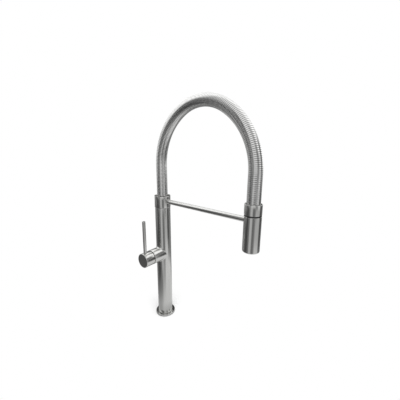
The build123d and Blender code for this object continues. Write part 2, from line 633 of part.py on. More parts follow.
# The knob is a cup as wide as the housing. Its rim is bevelled inside, so that its lower edge
# passes under the housing's edge when the lever is tipped out.
with BuildPart() as handle_knob:
    cup = [
        (KNOB_OUT, HOUSING_RADIUS),
        (KNOB_END, HOUSING_RADIUS),
        (KNOB_END, 0),
        (KNOB_OUT + KNOB_POCKET - KNOB_BOSS_LENGTH, 0),
        (KNOB_OUT + KNOB_POCKET - KNOB_BOSS_LENGTH, KNOB_BOSS_RADIUS),
        (KNOB_OUT + KNOB_POCKET, KNOB_BOSS_RADIUS),
        (KNOB_OUT + KNOB_POCKET, HOUSING_RADIUS - KNOB_WALL),
        (KNOB_OUT + KNOB_LIP, HOUSING_RADIUS - KNOB_WALL),
    ]
    revolve(half_section(cup, SIDE), axis=HANDLE_AXIS)
    end_edges = handle_knob.edges().filter_by(GeomType.CIRCLE).group_by(Axis.X)[0]
    chamfer(end_edges, KNOB_EDGE)
    with BuildSketch(across(KNOB_OUT + KNOB_POCKET - KNOB_BOSS_LENGTH)):
        Rectangle(STEM_WIDTH + 2 * FIT, STEM_WIDTH + 2 * FIT)
    extrude(amount=STEM_OUT + FIT - KNOB_OUT - KNOB_POCKET + KNOB_BOSS_LENGTH, mode=Mode.SUBTRACT)
    with BuildSketch(LEVER_PLANE.offset(LEVER_THREAD_END)):
        Circle(LEVER_THREAD_RADIUS + FIT)
    extrude(amount=HOUSING_RADIUS, mode=Mode.SUBTRACT)
    with BuildSketch(LEVER_PLANE.offset(LEVER_SEAT)):
        Circle(LEVER_RADIUS + FIT)
    extrude(amount=HOUSING_RADIUS, mode=Mode.SUBTRACT)
    with BuildSketch(GRUB_PLANE):
        Circle(GRUB_RADIUS + FIT)
    extrude(amount=-HOUSING_RADIUS, mode=Mode.SUBTRACT)
handle_knob.part.label = "handle_knob"
export_step(handle_knob.part, "parts/handle_knob.step")

with BuildPart() as lever_rod:
    with BuildSketch(LEVER_PLANE.offset(LEVER_THREAD_END)):
        Circle(LEVER_THREAD_RADIUS)
    extrude(amount=LEVER_SEAT - LEVER_THREAD_END)
    with BuildSketch(LEVER_PLANE.offset(LEVER_SEAT)):
        Circle(LEVER_RADIUS)
    extrude(amount=LEVER_SINK + LEVER_LENGTH)
    chamfer(lever_rod.edges().group_by(Axis.Z)[-1], LEVER_EDGE)
lever_rod.part.label = "lever_rod"
export_step(lever_rod.part, "parts/lever_rod.step")

with BuildPart() as grub_screw:
    with BuildSketch(GRUB_PLANE.offset(-STEM_WIDTH / 2)):
        Circle(GRUB_RADIUS)
    extrude(amount=-GRUB_LENGTH)
    with BuildSketch(GRUB_PLANE.offset(-STEM_WIDTH / 2 - GRUB_LENGTH)):
        RegularPolygon(HEX_RADIUS, 6)
    extrude(amount=HEX_DEPTH, mode=Mode.SUBTRACT)
grub_screw.part.label = "grub_screw"
export_step(grub_screw.part, "parts/grub_screw.step")

# ======== Neck and swivel ring ========

with BuildPart() as column_neck:
    plug = wall(NECK_WATERWAY_RADIUS, COLUMN_BORE - FIT, NECK_BOTTOM, COLUMN_TOP)
    revolve(half_section(plug))
    revolve(half_section(wall(NECK_WATERWAY_RADIUS, NECK_RADIUS, COLUMN_TOP, NECK_TOP)))
    with BuildSketch(Plane.XY.offset(NECK_BOTTOM)):
        Circle(OUTLET_PIPE_RADIUS + FIT)
    extrude(amount=PIPE_SOCKET_DEPTH, mode=Mode.SUBTRACT)
    for height in O_RING_HEIGHTS:
        groove = wall(
            NECK_RADIUS - O_RING_GROOVE_DEPTH,
            NECK_RADIUS,
            height - O_RING_WIDTH / 2 - FIT,
            height + O_RING_WIDTH / 2 + FIT,
        )
        revolve(half_section(groove), mode=Mode.SUBTRACT)
    groove = wall(
        NECK_RADIUS - CLIP_DEPTH, NECK_RADIUS, CLIP_START - FIT, CLIP_START + CLIP_THICKNESS + FIT
    )
    revolve(half_section(groove), mode=Mode.SUBTRACT)
column_neck.part.label = "column_neck"
export_step(column_neck.part, "parts/column_neck.step")

# Each seal ring fills its groove out to the swivel ring's bore.
with BuildPart() as neck_o_rings:
    for height in O_RING_HEIGHTS:
        revolve(half_section(seal_ring(
            NECK_RADIUS - O_RING_GROOVE_DEPTH + FIT, SEAL_ZONE_RADIUS - RUNNING, height, O_RING_WIDTH
        )))
neck_o_rings.part.label = "neck_o_rings"
export_step(neck_o_rings.part, "parts/neck_o_rings.step")

with BuildPart() as neck_clip:
    with BuildSketch(Plane.XY.offset(CLIP_START)):
        Circle(CLIP_RADIUS)
        Circle(NECK_RADIUS - CLIP_DEPTH + FIT, mode=Mode.SUBTRACT)
        with Locations((CLIP_RADIUS, 0)):
            Rectangle(CLIP_RADIUS, CLIP_OPENING, mode=Mode.SUBTRACT)
    extrude(amount=CLIP_THICKNESS)
neck_clip.part.label = "neck_clip"
export_step(neck_clip.part, "parts/neck_clip.step")

with BuildPart() as thrust_washer:
    revolve(half_section(wall(NECK_RADIUS + RUNNING, WASHER_RADIUS, COLUMN_TOP, RING_BOTTOM)))
thrust_washer.part.label = "thrust_washer"
export_step(thrust_washer.part, "parts/thrust_washer.step")

# The ring: bearings and seals in its bore, and an open cup round the hose at its top.
with BuildPart() as swivel_ring:
    ring = [
        (BUSH_RADIUS + FIT, RING_BOTTOM),
        (RING_RADIUS, RING_BOTTOM),
        (RING_RADIUS, RIM_HEIGHT),
        (RING_RADIUS - CUP_WALL, RIM_HEIGHT),
        (RING_RADIUS - CUP_WALL, CUP_FLOOR),
        (BUSH_RADIUS + FIT, CUP_FLOOR),
        (BUSH_RADIUS + FIT, SEAL_ZONE_END),
        (SEAL_ZONE_RADIUS, SEAL_ZONE_END),
        (SEAL_ZONE_RADIUS, SEAL_ZONE_START),
        (BUSH_RADIUS + FIT, SEAL_ZONE_START),
    ]
    revolve(half_section(ring))
    with BuildSketch(ARM_PLANE.offset(RING_RADIUS - ARM_STUD_LENGTH)):
        Circle(ARM_STUD_RADIUS + FIT)
    extrude(amount=RING_RADIUS, mode=Mode.SUBTRACT)
swivel_ring.part.label = "swivel_ring"
export_step(swivel_ring.part, "parts/swivel_ring.step")

with BuildPart() as lower_bush:
    revolve(half_section(wall(NECK_RADIUS + RUNNING, BUSH_RADIUS, RING_BOTTOM, SEAL_ZONE_START)))
lower_bush.part.label = "lower_bush"
export_step(lower_bush.part, "parts/lower_bush.step")

with BuildPart() as upper_bush:
    bush = wall(NECK_RADIUS + RUNNING, BUSH_RADIUS, SEAL_ZONE_END, SEAL_ZONE_END + UPPER_BUSH_LENGTH)
    revolve(half_section(bush))
upper_bush.part.label = "upper_bush"
export_step(upper_bush.part, "parts/upper_bush.step")

# ======== Hose ========

# The union screws into the ring, clamps the lower collar and carries the inner hose on its barb.
with BuildPart() as hose_union:
    union = [
        (BARB_WATERWAY_RADIUS, NECK_TOP + UNION_GAP),
        (BUSH_RADIUS, NECK_TOP + UNION_GAP),
        (BUSH_RADIUS, CUP_FLOOR + COLLAR_FLOOR),
        (HOSE_RADIUS, CUP_FLOOR + COLLAR_FLOOR),
        (HOSE_RADIUS, HOSE_START),
        (INNER_HOSE_BORE_RADIUS - FIT, HOSE_START),
        (INNER_HOSE_BORE_RADIUS - FIT, HOSE_START + BARB_LENGTH),
        (BARB_WATERWAY_RADIUS, HOSE_START + BARB_LENGTH),
    ]
    revolve(half_section(union))
hose_union.part.label = "hose_union"
export_step(hose_union.part, "parts/hose_union.step")

with BuildPart() as lower_collar:
    collar = [
        (BUSH_RADIUS + FIT, CUP_FLOOR),
        (COLLAR_BORE + COLLAR_WALL, CUP_FLOOR),
        (COLLAR_BORE + COLLAR_WALL, CUP_FLOOR + COLLAR_HEIGHT),
        (COLLAR_BORE, CUP_FLOOR + COLLAR_HEIGHT),
        (COLLAR_BORE, CUP_FLOOR + COLLAR_FLOOR),
        (BUSH_RADIUS + FIT, CUP_FLOOR + COLLAR_FLOOR),
    ]
    revolve(half_section(collar))
lower_collar.part.label = "lower_collar"
export_step(lower_collar.part, "parts/lower_collar.step")

# The jacket: a tube of flat ribs on the hose's own route, with a narrow groove between each two.
with BuildPart() as hose_jacket:
    route = hose_route(HOSE_START, HOSE_END)
    cuts = []
    for rib in range(HOSE_RIBS):
        cuts.append(hose_cut(route, (rib + GROOVE_FLOOR / 2) / HOSE_RIBS, HOSE_ROOT_RADIUS))
        cuts.append(hose_cut(route, (rib + GROOVE_MOUTH / 2) / HOSE_RIBS, HOSE_RADIUS))
        cuts.append(hose_cut(route, (rib + 1 - GROOVE_MOUTH / 2) / HOSE_RIBS, HOSE_RADIUS))
        cuts.append(hose_cut(route, (rib + 1 - GROOVE_FLOOR / 2) / HOSE_RIBS, HOSE_ROOT_RADIUS))
    loft(cuts, ruled=True)
    loft(smooth_hose(route, HOSE_BORE_RADIUS), ruled=True, mode=Mode.SUBTRACT)
print(f"hose: {route.length:.1f} mm long, {HOSE_RIBS} ribs, pitch {route.length / HOSE_RIBS:.2f} mm")
hose_jacket.part.label = "hose_jacket"
export_step(hose_jacket.part, "parts/hose_jacket.step")

with BuildPart() as inner_hose:
    loft(smooth_hose(route, INNER_HOSE_RADIUS), ruled=True)
    loft(smooth_hose(route, INNER_HOSE_BORE_RADIUS), ruled=True, mode=Mode.SUBTRACT)
inner_hose.part.label = "inner_hose"
export_step(inner_hose.part, "parts/inner_hose.step")

with BuildPart() as lower_crimp:
    crimp_start = HOSE_START + CRIMP_OFFSET
    crimp = wall(INNER_HOSE_RADIUS + FIT, CRIMP_RADIUS, crimp_start, crimp_start + CRIMP_LENGTH)
    revolve(half_section(crimp))
lower_crimp.part.label = "lower_crimp"
export_step(lower_crimp.part, "parts/lower_crimp.step")

# ======== Docking arm ========

# A rod screwed into the ring. Both of its ends are hollowed to the round pieces they meet.
with BuildPart() as docking_arm:
    with BuildSketch(ARM_PLANE):
        Circle(ARM_RADIUS)
    extrude(amount=REACH)
    with BuildSketch():
        Circle(RING_RADIUS)
    extrude(amount=RIM_HEIGHT, mode=Mode.SUBTRACT)
    with BuildSketch(HEAD_CENTRE):
        Circle(HEAD_RADIUS + DOCK_GAP)
    extrude(amount=HEAD_TOP, mode=Mode.SUBTRACT)
    with BuildSketch(ARM_PLANE.offset(RING_RADIUS - ARM_STUD_LENGTH)):
        Circle(ARM_STUD_RADIUS)
    extrude(amount=2 * ARM_STUD_LENGTH)
    with BuildSketch(ARM_PLANE.offset(MAGNET_OUT)):
        Circle(MAGNET_RADIUS + FIT)
    extrude(amount=MAGNET_LENGTH, mode=Mode.SUBTRACT)
docking_arm.part.label = "docking_arm"
export_step(docking_arm.part, "parts/docking_arm.step")

with BuildPart() as dock_magnet:
    with BuildSketch(ARM_PLANE.offset(MAGNET_OUT)):
        Circle(MAGNET_RADIUS)
    extrude(amount=MAGNET_LENGTH)
    with BuildSketch(HEAD_CENTRE):
        Circle(HEAD_RADIUS + DOCK_GAP)
    extrude(amount=HEAD_TOP, mode=Mode.SUBTRACT)
dock_magnet.part.label = "dock_magnet"
export_step(dock_magnet.part, "parts/dock_magnet.step")

# ======== Sleeve at the hose's end ========

with BuildPart() as head_sleeve:
    sleeve = [
        (SLEEVE_BORE_RADIUS + FIT, HEAD_SEAM),
        (HEAD_RADIUS, HEAD_SEAM),
        (HEAD_RADIUS, HEAD_TOP),
        (HEAD_RADIUS - SLEEVE_WALL, HEAD_TOP),
        (HEAD_RADIUS - SLEEVE_WALL, SLEEVE_FLOOR),
        (SLEEVE_BORE_RADIUS + FIT, SLEEVE_FLOOR),
    ]
    revolve(half_section(sleeve, HEAD_SIDE), axis=HEAD_AXIS)
head_sleeve.part.label = "head_sleeve"
export_step(head_sleeve.part, "parts/head_sleeve.step")

with BuildPart() as upper_collar:
    collar = [
        (SLEEVE_BORE_RADIUS + FIT, SLEEVE_FLOOR),
        (COLLAR_BORE + COLLAR_WALL, SLEEVE_FLOOR),
        (COLLAR_BORE + COLLAR_WALL, SLEEVE_FLOOR + COLLAR_HEIGHT),
        (COLLAR_BORE, SLEEVE_FLOOR + COLLAR_HEIGHT),
        (COLLAR_BORE, SLEEVE_FLOOR + COLLAR_FLOOR),
        (SLEEVE_BORE_RADIUS + FIT, SLEEVE_FLOOR + COLLAR_FLOOR),
    ]
    revolve(half_section(collar, HEAD_SIDE), axis=HEAD_AXIS)
upper_collar.part.label = "upper_collar"
export_step(upper_collar.part, "parts/upper_collar.step")

# The nipple holds the hose's end in the sleeve, and the head turns on its spigot.
with BuildPart() as swivel_nipple:
    nipple = [
        (BARB_WATERWAY_RADIUS, SPIGOT_BOTTOM),
        (SPIGOT_RADIUS, SPIGOT_BOTTOM),
        (SPIGOT_RADIUS, HEAD_SEAM),
        (SLEEVE_BORE_RADIUS, HEAD_SEAM),
        (SLEEVE_BORE_RADIUS, SLEEVE_FLOOR + COLLAR_FLOOR),
        (HOSE_RADIUS, SLEEVE_FLOOR + COLLAR_FLOOR),
        (HOSE_RADIUS, HOSE_END),
        (INNER_HOSE_BORE_RADIUS - FIT, HOSE_END),
        (INNER_HOSE_BORE_RADIUS - FIT, HOSE_END + BARB_LENGTH),
        (BARB_WATERWAY_RADIUS, HOSE_END + BARB_LENGTH),
    ]
    revolve(half_section(nipple, HEAD_SIDE), axis=HEAD_AXIS)
    for low, high, depth in (
        (SPIGOT_RING_LOW, SPIGOT_RING_LOW + O_RING_WIDTH + 2 * FIT, O_RING_GROOVE_DEPTH),
        (SPIGOT_CLIP_LOW - FIT, SPIGOT_CLIP_LOW + SPIGOT_CLIP_THICKNESS + FIT, CLIP_DEPTH),
    ):
        groove = wall(SPIGOT_RADIUS - depth, SPIGOT_RADIUS, low, high)
        revolve(half_section(groove, HEAD_SIDE), axis=HEAD_AXIS, mode=Mode.SUBTRACT)
swivel_nipple.part.label = "swivel_nipple"
export_step(swivel_nipple.part, "parts/swivel_nipple.step")

with BuildPart() as upper_crimp:
    crimp_start = HOSE_END + CRIMP_OFFSET
    crimp = wall(INNER_HOSE_RADIUS + FIT, CRIMP_RADIUS, crimp_start, crimp_start + CRIMP_LENGTH)
    revolve(half_section(crimp, HEAD_SIDE), axis=HEAD_AXIS)
upper_crimp.part.label = "upper_crimp"
export_step(upper_crimp.part, "parts/upper_crimp.step")

with BuildPart() as black_ring:
    band = wall(SPIGOT_RADIUS + FIT, BLACK_RING_RADIUS, HEAD_SEAM - BLACK_RING_HEIGHT, HEAD_SEAM)
    revolve(half_section(band, HEAD_SIDE), axis=HEAD_AXIS)
black_ring.part.label = "black_ring"
export_step(black_ring.part, "parts/black_ring.step")

with BuildPart() as spigot_o_ring:
    revolve(
        half_section(seal_ring(
            SPIGOT_RADIUS - O_RING_GROOVE_DEPTH + FIT,
            SPIGOT_RADIUS,
            SPIGOT_RING_LOW + O_RING_WIDTH / 2 + FIT,
            O_RING_WIDTH,
        ), HEAD_SIDE),
        axis=HEAD_AXIS,
    )
spigot_o_ring.part.label = "spigot_o_ring"
export_step(spigot_o_ring.part, "parts/spigot_o_ring.step")

with BuildPart() as spigot_clip:
    with BuildSketch(over_head(SPIGOT_CLIP_LOW)):
        Circle(SPIGOT_CLIP_RADIUS)
        Circle(SPIGOT_RADIUS - CLIP_DEPTH + FIT, mode=Mode.SUBTRACT)
        with Locations((SPIGOT_CLIP_RADIUS, 0)):
            Rectangle(SPIGOT_CLIP_RADIUS, CLIP_OPENING, mode=Mode.SUBTRACT)
    extrude(amount=SPIGOT_CLIP_THICKNESS)
spigot_clip.part.label = "spigot_clip"
export_step(spigot_clip.part, "parts/spigot_clip.step")

# ======== Spray head ========

with BuildPart() as head_shell:
    shell = [
        (FACE_RADIUS + FIT, HEAD_BOTTOM),
        (HEAD_RADIUS, HEAD_BOTTOM),
        (HEAD_RADIUS, SHELL_TOP),
        (HEAD_RADIUS - HEAD_WALL, SHELL_TOP),
        (HEAD_RADIUS - HEAD_WALL, FLOOR_TOP),
        (FACE_RADIUS + FIT, FLOOR_TOP),
    ]
    revolve(half_section(shell, HEAD_SIDE), axis=HEAD_AXIS)
    bottom = head_shell.edges().filter_by(GeomType.CIRCLE).group_by(Axis.Z)[0]
    fillet(bottom.sort_by(SortBy.RADIUS)[-1], HEAD_ROUNDING)
head_shell.part.label = "head_shell"
export_step(head_shell.part, "parts/head_shell.step")

# The core carries the bearing of the spigot, the check valve and the chamber over the nozzles.
with BuildPart() as head_core:
    core = [
        (MIXING_CHAMBER_RADIUS, CORE_BOTTOM),
        (CORE_RADIUS, CORE_BOTTOM),
        (CORE_RADIUS, STRIKE_BOTTOM - FIT),
        (CORE_RADIUS - STRIKE_THICKNESS - FIT, STRIKE_BOTTOM - FIT),
        (CORE_RADIUS - STRIKE_THICKNESS - FIT, STRIKE_TOP + FIT),
        (CORE_RADIUS, STRIKE_TOP + FIT),
        (CORE_RADIUS, SHELL_TOP),
        (RETAINER_RADIUS + FIT, SHELL_TOP),
        (RETAINER_RADIUS + FIT, SHELL_TOP - RETAINER_HEIGHT),
        (SPIGOT_CLIP_RADIUS + CLIP_ROOM, SHELL_TOP - RETAINER_HEIGHT),
        (SPIGOT_CLIP_RADIUS + CLIP_ROOM, SPIGOT_CLIP_LOW - CLIP_ROOM),
        (SPIGOT_RADIUS + RUNNING, SPIGOT_CLIP_LOW - CLIP_ROOM),
        (SPIGOT_RADIUS + RUNNING, SPIGOT_BOTTOM - UNION_GAP),
        (CORE_WATERWAY_RADIUS, SPIGOT_BOTTOM - UNION_GAP),
        (CORE_WATERWAY_RADIUS, VALVE_CHAMBER_TOP),
        (VALVE_CHAMBER_RADIUS, VALVE_CHAMBER_TOP),
        (VALVE_CHAMBER_RADIUS, CORE_BOTTOM + MIXING_CHAMBER_HEIGHT),
        (MIXING_CHAMBER_RADIUS, CORE_BOTTOM + MIXING_CHAMBER_HEIGHT),
    ]
    revolve(half_section(core, HEAD_SIDE), axis=HEAD_AXIS)
head_core.part.label = "head_core"
export_step(head_core.part, "parts/head_core.step")

with BuildPart() as retaining_nut:
    nut = wall(SPIGOT_RADIUS + RUNNING, RETAINER_RADIUS, SHELL_TOP - RETAINER_HEIGHT, SHELL_TOP)
    revolve(half_section(nut, HEAD_SIDE), axis=HEAD_AXIS)
    with BuildSketch(over_head(SHELL_TOP - SPANNER_SLOT_DEPTH)):
        Rectangle(2 * RETAINER_RADIUS, SPANNER_SLOT_WIDTH)
    extrude(amount=SPANNER_SLOT_DEPTH, mode=Mode.SUBTRACT)
retaining_nut.part.label = "retaining_nut"
export_step(retaining_nut.part, "parts/retaining_nut.step")

# A steel band behind the shell is what the arm's magnet holds, whichever way the head is turned.
with BuildPart() as strike_band:
    band = wall(
        CORE_RADIUS - STRIKE_THICKNESS,
        CORE_RADIUS,
        STRIKE_BOTTOM,
        STRIKE_TOP,
    )
    revolve(half_section(band, HEAD_SIDE), axis=HEAD_AXIS)
strike_band.part.label = "strike_band"
export_step(strike_band.part, "parts/strike_band.step")

with BuildPart() as check_valve_cage:
    cage = [
        (0, CAGE_BOTTOM),
        (VALVE_CHAMBER_RADIUS - FIT, CAGE_BOTTOM),
        (VALVE_CHAMBER_RADIUS - FIT, VALVE_CHAMBER_TOP),
        (VALVE_SEAT_RADIUS, VALVE_CHAMBER_TOP),
        (VALVE_SEAT_RADIUS, POPPET_TOP),
        (VALVE_CHAMBER_RADIUS - FIT - VALVE_CAGE_WALL, POPPET_TOP),
        (VALVE_CHAMBER_RADIUS - FIT - VALVE_CAGE_WALL, CAGE_BOTTOM + VALVE_CAGE_FLOOR),
        (0, CAGE_BOTTOM + VALVE_CAGE_FLOOR),
    ]
    revolve(half_section(cage, HEAD_SIDE), axis=HEAD_AXIS)
    with BuildSketch(over_head(CAGE_BOTTOM)):
        Circle(POPPET_STEM_RADIUS + RUNNING)
        with PolarLocations(CAGE_HOLE_CIRCLE, CAGE_HOLES):
            Circle(CAGE_HOLE_RADIUS)
    extrude(amount=VALVE_CAGE_FLOOR, mode=Mode.SUBTRACT)
check_valve_cage.part.label = "check_valve_cage"
export_step(check_valve_cage.part, "parts/check_valve_cage.step")

with BuildPart() as check_poppet:
    poppet = [
        (0, POPPET_TOP),
        (POPPET_RADIUS, POPPET_TOP),
        (POPPET_RADIUS, POPPET_TOP - POPPET_HEIGHT),
        (POPPET_STEM_RADIUS, POPPET_TOP - POPPET_HEIGHT),
        (POPPET_STEM_RADIUS, POPPET_TOP - POPPET_HEIGHT - POPPET_STEM_LENGTH),
        (0, POPPET_TOP - POPPET_HEIGHT - POPPET_STEM_LENGTH),
    ]
    revolve(half_section(poppet, HEAD_SIDE), axis=HEAD_AXIS)
check_poppet.part.label = "check_poppet"
export_step(check_poppet.part, "parts/check_poppet.step")

# The return spring stands on the cage's floor and bears on the poppet's underside.
with BuildPart() as check_spring:
    curl_height = SPRING_TOP - SPRING_BOTTOM - SPRING_WIRE
    coil = Helix(
        pitch=curl_height / SPRING_CURLS,
        height=curl_height,
        radius=SPRING_RADIUS,
        center=(0, -REACH, SPRING_BOTTOM + SPRING_WIRE / 2),
    )
    with BuildSketch(Plane(origin=coil @ 0, x_dir=(1, 0, 0), z_dir=coil % 0)):
        Rectangle(SPRING_WIRE, SPRING_WIRE)
    sweep(path=coil, is_frenet=True)
check_spring.part.label = "check_spring"
export_step(check_spring.part, "parts/check_spring.step")

with BuildPart() as flow_plate:
    with BuildSketch(over_head(CORE_BOTTOM - PLATE_THICKNESS)):
        Circle(CORE_RADIUS)
        with PolarLocations(PLATE_HOLE_CIRCLE, PLATE_HOLES):
            Circle(PLATE_HOLE_RADIUS, mode=Mode.SUBTRACT)
    extrude(amount=PLATE_THICKNESS)
flow_plate.part.label = "flow_plate"
export_step(flow_plate.part, "parts/flow_plate.step")

# The face: a soft disc with raised nozzle tips in two rings round the aerator.
with BuildPart() as spray_face:
    with BuildSketch(over_head(HEAD_BOTTOM + FACE_RECESS)):
        Circle(FACE_RADIUS)
    extrude(amount=FLOOR_TOP - HEAD_BOTTOM - FACE_RECESS)
    with BuildSketch(over_head(FLOOR_TOP)):
        Circle(CORE_RADIUS)
    extrude(amount=FACE_FLANGE)
    for nozzles, circle in NOZZLE_RINGS:
        with BuildSketch(over_head(HEAD_BOTTOM + NOZZLE_TIP_GAP)):
            with PolarLocations(circle, nozzles):
                RegularPolygon(NOZZLE_TIP_RADIUS, NOZZLE_SIDES)
        extrude(amount=FACE_RECESS - NOZZLE_TIP_GAP)
        with BuildSketch(over_head(HEAD_BOTTOM)):
            with PolarLocations(circle, nozzles):
                RegularPolygon(NOZZLE_RADIUS, NOZZLE_SIDES)
        extrude(amount=FLOOR_TOP + FACE_FLANGE - HEAD_BOTTOM, mode=Mode.SUBTRACT)
    with BuildSketch(over_head(HEAD_BOTTOM)):
        Circle(AERATOR_RADIUS + FIT)
    extrude(amount=FLOOR_TOP + FACE_FLANGE - HEAD_BOTTOM, mode=Mode.SUBTRACT)
spray_face.part.label = "spray_face"
export_step(spray_face.part, "parts/spray_face.step")

with BuildPart() as aerator_insert:
    with BuildSketch(over_head(HEAD_BOTTOM + FACE_RECESS)):
        Circle(AERATOR_RADIUS)
        with GridLocations(AERATOR_MESH, AERATOR_MESH, AERATOR_CELLS, AERATOR_CELLS):
            Rectangle(AERATOR_MESH / 2, AERATOR_MESH / 2, mode=Mode.SUBTRACT)
    extrude(amount=FLOOR_TOP + FACE_FLANGE - HEAD_BOTTOM - FACE_RECESS)
aerator_insert.part.label = "aerator_insert"
export_step(aerator_insert.part, "parts/aerator_insert.step")
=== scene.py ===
import json
from math import cos, pi, radians, sin
from typing import NamedTuple

import bpy
import numpy as np
from bpy.props import FloatProperty, FloatVectorProperty, IntProperty, PointerProperty
from mathutils import Matrix, Vector


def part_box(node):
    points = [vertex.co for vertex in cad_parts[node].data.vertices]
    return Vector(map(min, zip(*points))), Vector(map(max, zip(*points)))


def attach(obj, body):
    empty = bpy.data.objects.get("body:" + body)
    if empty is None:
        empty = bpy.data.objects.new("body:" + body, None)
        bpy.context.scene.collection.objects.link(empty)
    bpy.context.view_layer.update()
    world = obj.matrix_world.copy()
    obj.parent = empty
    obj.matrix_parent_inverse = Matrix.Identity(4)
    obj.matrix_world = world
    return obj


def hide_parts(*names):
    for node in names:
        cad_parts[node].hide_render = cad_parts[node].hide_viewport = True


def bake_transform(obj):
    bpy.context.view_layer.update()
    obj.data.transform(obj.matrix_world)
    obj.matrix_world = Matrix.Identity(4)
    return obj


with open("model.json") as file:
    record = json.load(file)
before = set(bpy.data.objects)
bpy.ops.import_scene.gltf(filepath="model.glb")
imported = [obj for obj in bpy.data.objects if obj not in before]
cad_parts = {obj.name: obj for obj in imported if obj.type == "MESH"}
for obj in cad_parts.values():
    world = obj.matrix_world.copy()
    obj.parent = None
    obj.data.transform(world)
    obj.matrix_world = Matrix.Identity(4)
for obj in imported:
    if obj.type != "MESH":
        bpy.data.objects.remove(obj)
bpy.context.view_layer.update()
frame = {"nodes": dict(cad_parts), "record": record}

bl_info = {
    "name": "Ribbed Hose Kitchen Mixer",
    "version": (1, 0, 0),
    "blender": (4, 5, 0),
    "location": "3D View > Sidebar > Kitchen Mixer",
    "description": "Builds the finished surfaces of a kitchen mixer round its packed parts",
    "category": "Object",
}

MM = 0.001


# ======== Colours and places ========


def hex_colour(text):
    """An sRGB hex colour as linear red, green and blue."""
    srgb = np.array([int(text[i:i + 2], 16) for i in (1, 3, 5)]) / 255
    return tuple(np.where(srgb <= 0.04045, srgb / 12.92, ((srgb + 0.055) / 1.055) ** 2.4))


class Part(NamedTuple):
    """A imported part's box and, for an upright turned part, its radius."""

    low: np.ndarray
    high: np.ndarray
    radius: float


def part(node):
    """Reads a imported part. Its radius is half the narrower of the two level sides of its box."""
    low, high = (np.array(corner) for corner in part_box(node))
    return Part(low, high, (high - low)[:2].min() / 2)


COLUMN = part("column_tube")
FLANGE = part("base_flange")
HOUSING = part("valve_housing")
KNOB = part("handle_knob")
LEVER = part("lever_rod")
GRUB = part("grub_screw")
RING = part("swivel_ring")
ARM = part("docking_arm")
JACKET = part("hose_jacket")
SLEEVE = part("head_sleeve")
BAND = part("black_ring")
SHELL = part("head_shell")
FACE = part("spray_face")
LOWER_COLLAR = part("lower_collar")
UPPER_COLLAR = part("upper_collar")

COLUMN_CENTRE = np.zeros(3)
HANDLE_HEIGHT = (KNOB.low[2] + KNOB.high[2]) / 2
HANDLE_CENTRE = np.array([0.0, 0.0, HANDLE_HEIGHT])
REACH = -(SHELL.low[1] + SHELL.high[1]) / 2
HEAD_CENTRE = np.array([0.0, -REACH, 0.0])
ARM_HEIGHT = (ARM.low[2] + ARM.high[2]) / 2
LEVER_CENTRE = np.array([(LEVER.low[0] + LEVER.high[0]) / 2, 0.0, 0.0])

# Inner sizes, which no part's box gives, and how finely the pieces are drawn.
FIT = 0.05 * MM  # gap between the flange and the column, and round the spray face
COLUMN_WALL = 1.5 * MM
GASKET_GROOVE = (19.5 * MM, 22.3 * MM)  # its inner and outer radius
GASKET_DEPTH = 1.2 * MM
HOUSING_WALL = 1.5 * MM
WELD_STEPS = 9
KNOB_WALL = 1.8 * MM
KNOB_LIP = 2.2 * MM  # length of the bevel inside the knob's rim
KNOB_POCKET = 7.0 * MM
KNOB_BOSS = 2.0 * MM
KNOB_BOSS_RADIUS = 7.0 * MM
LEVER_SEAT_DEPTH = 3.0 * MM
RING_BORE = 10.55 * MM
RING_CUP_WALL = 1.8 * MM
SEAL_RADIUS = 9.6 * MM
SEAL_ZONE = (3.5 * MM, 9.5 * MM)  # from and to, above the ring's lower edge
ARM_GAP = 0.3 * MM
SLEEVE_BORE = 9.05 * MM
SLEEVE_WALL = 1.5 * MM
BAND_BORE = 6.55 * MM
BAND_EDGE = 0.2 * MM
SHELL_WALL = 1.3 * MM
SHELL_MOUTH = 10.65 * MM
SHELL_LIP = 3.0 * MM
FACE_EDGE = 0.3 * MM
NOZZLE_EDGES = (0.3 * MM, 0.2 * MM, 0.1 * MM)  # roundings at its tip, its foot and its root
NOZZLE_ROOT = 0.5 * MM  # how far a nozzle's cone reaches into the face
NOZZLE_TIP = 0.62  # radius of a nozzle's tip, as a share of its foot's
OVERCUT = 1.0 * MM  # how far a nozzle's bore is cut past the face
NOZZLE_RINGS = ((5, 5.4 * MM), (9, 8.3 * MM))  # how many nozzles, on what circle radius
NOZZLE_BORE = 0.45 * MM
AERATOR_BORE = 3.25 * MM
FACE_SEGMENTS, CONE_SEGMENTS, BORE_SEGMENTS = 96, 24, 20

COLLAR_SEAT = 2.2 * MM  # from a collar's underside to the hose's end
HOSE_BORE = 9.7 * MM
HOSE_SEGMENTS = 56
WATER_HOSE_RADII = (7.0 * MM, 4.9 * MM)
WATER_HOSE_SEGMENTS = 32
SMOOTH_RINGS = 61  # along a hose that has no ribs
STANDING_GROOVE = 0.3  # width left of a groove on the leg above the column
HANGING_GROOVE = 0.55  # and on the leg above the head
STANDING_REACH = 25 * MM  # how far the closed ribs of the first leg go on up the arch
OPENING = 40 * MM  # length over which the grooves open
OPENED_AT_END = 0.8  # how far through that length the leg's end is

# The axes as numbers, and right-handed sets of them: across, across, along.
X, Y, Z = 0, 1, 2
UPRIGHT = np.eye(3)
SIDEWAYS = np.array([[0.0, -1.0, 0.0], [0.0, 0.0, 1.0], [-1.0, 0.0, 0.0]])


# ======== Surfaces ========

SHARP_EDGE = 32.0  # in degrees: a steeper edge is drawn sharp
SHARP_BY_WELD = 40.0  # the same round the housing, where the weld curves tightly
SHARP_IN_HOSE = 60.0
NEVER_SHARP = 180.0
ROUNDED_SHARE = 0.45  # most that one rounding may take of a side


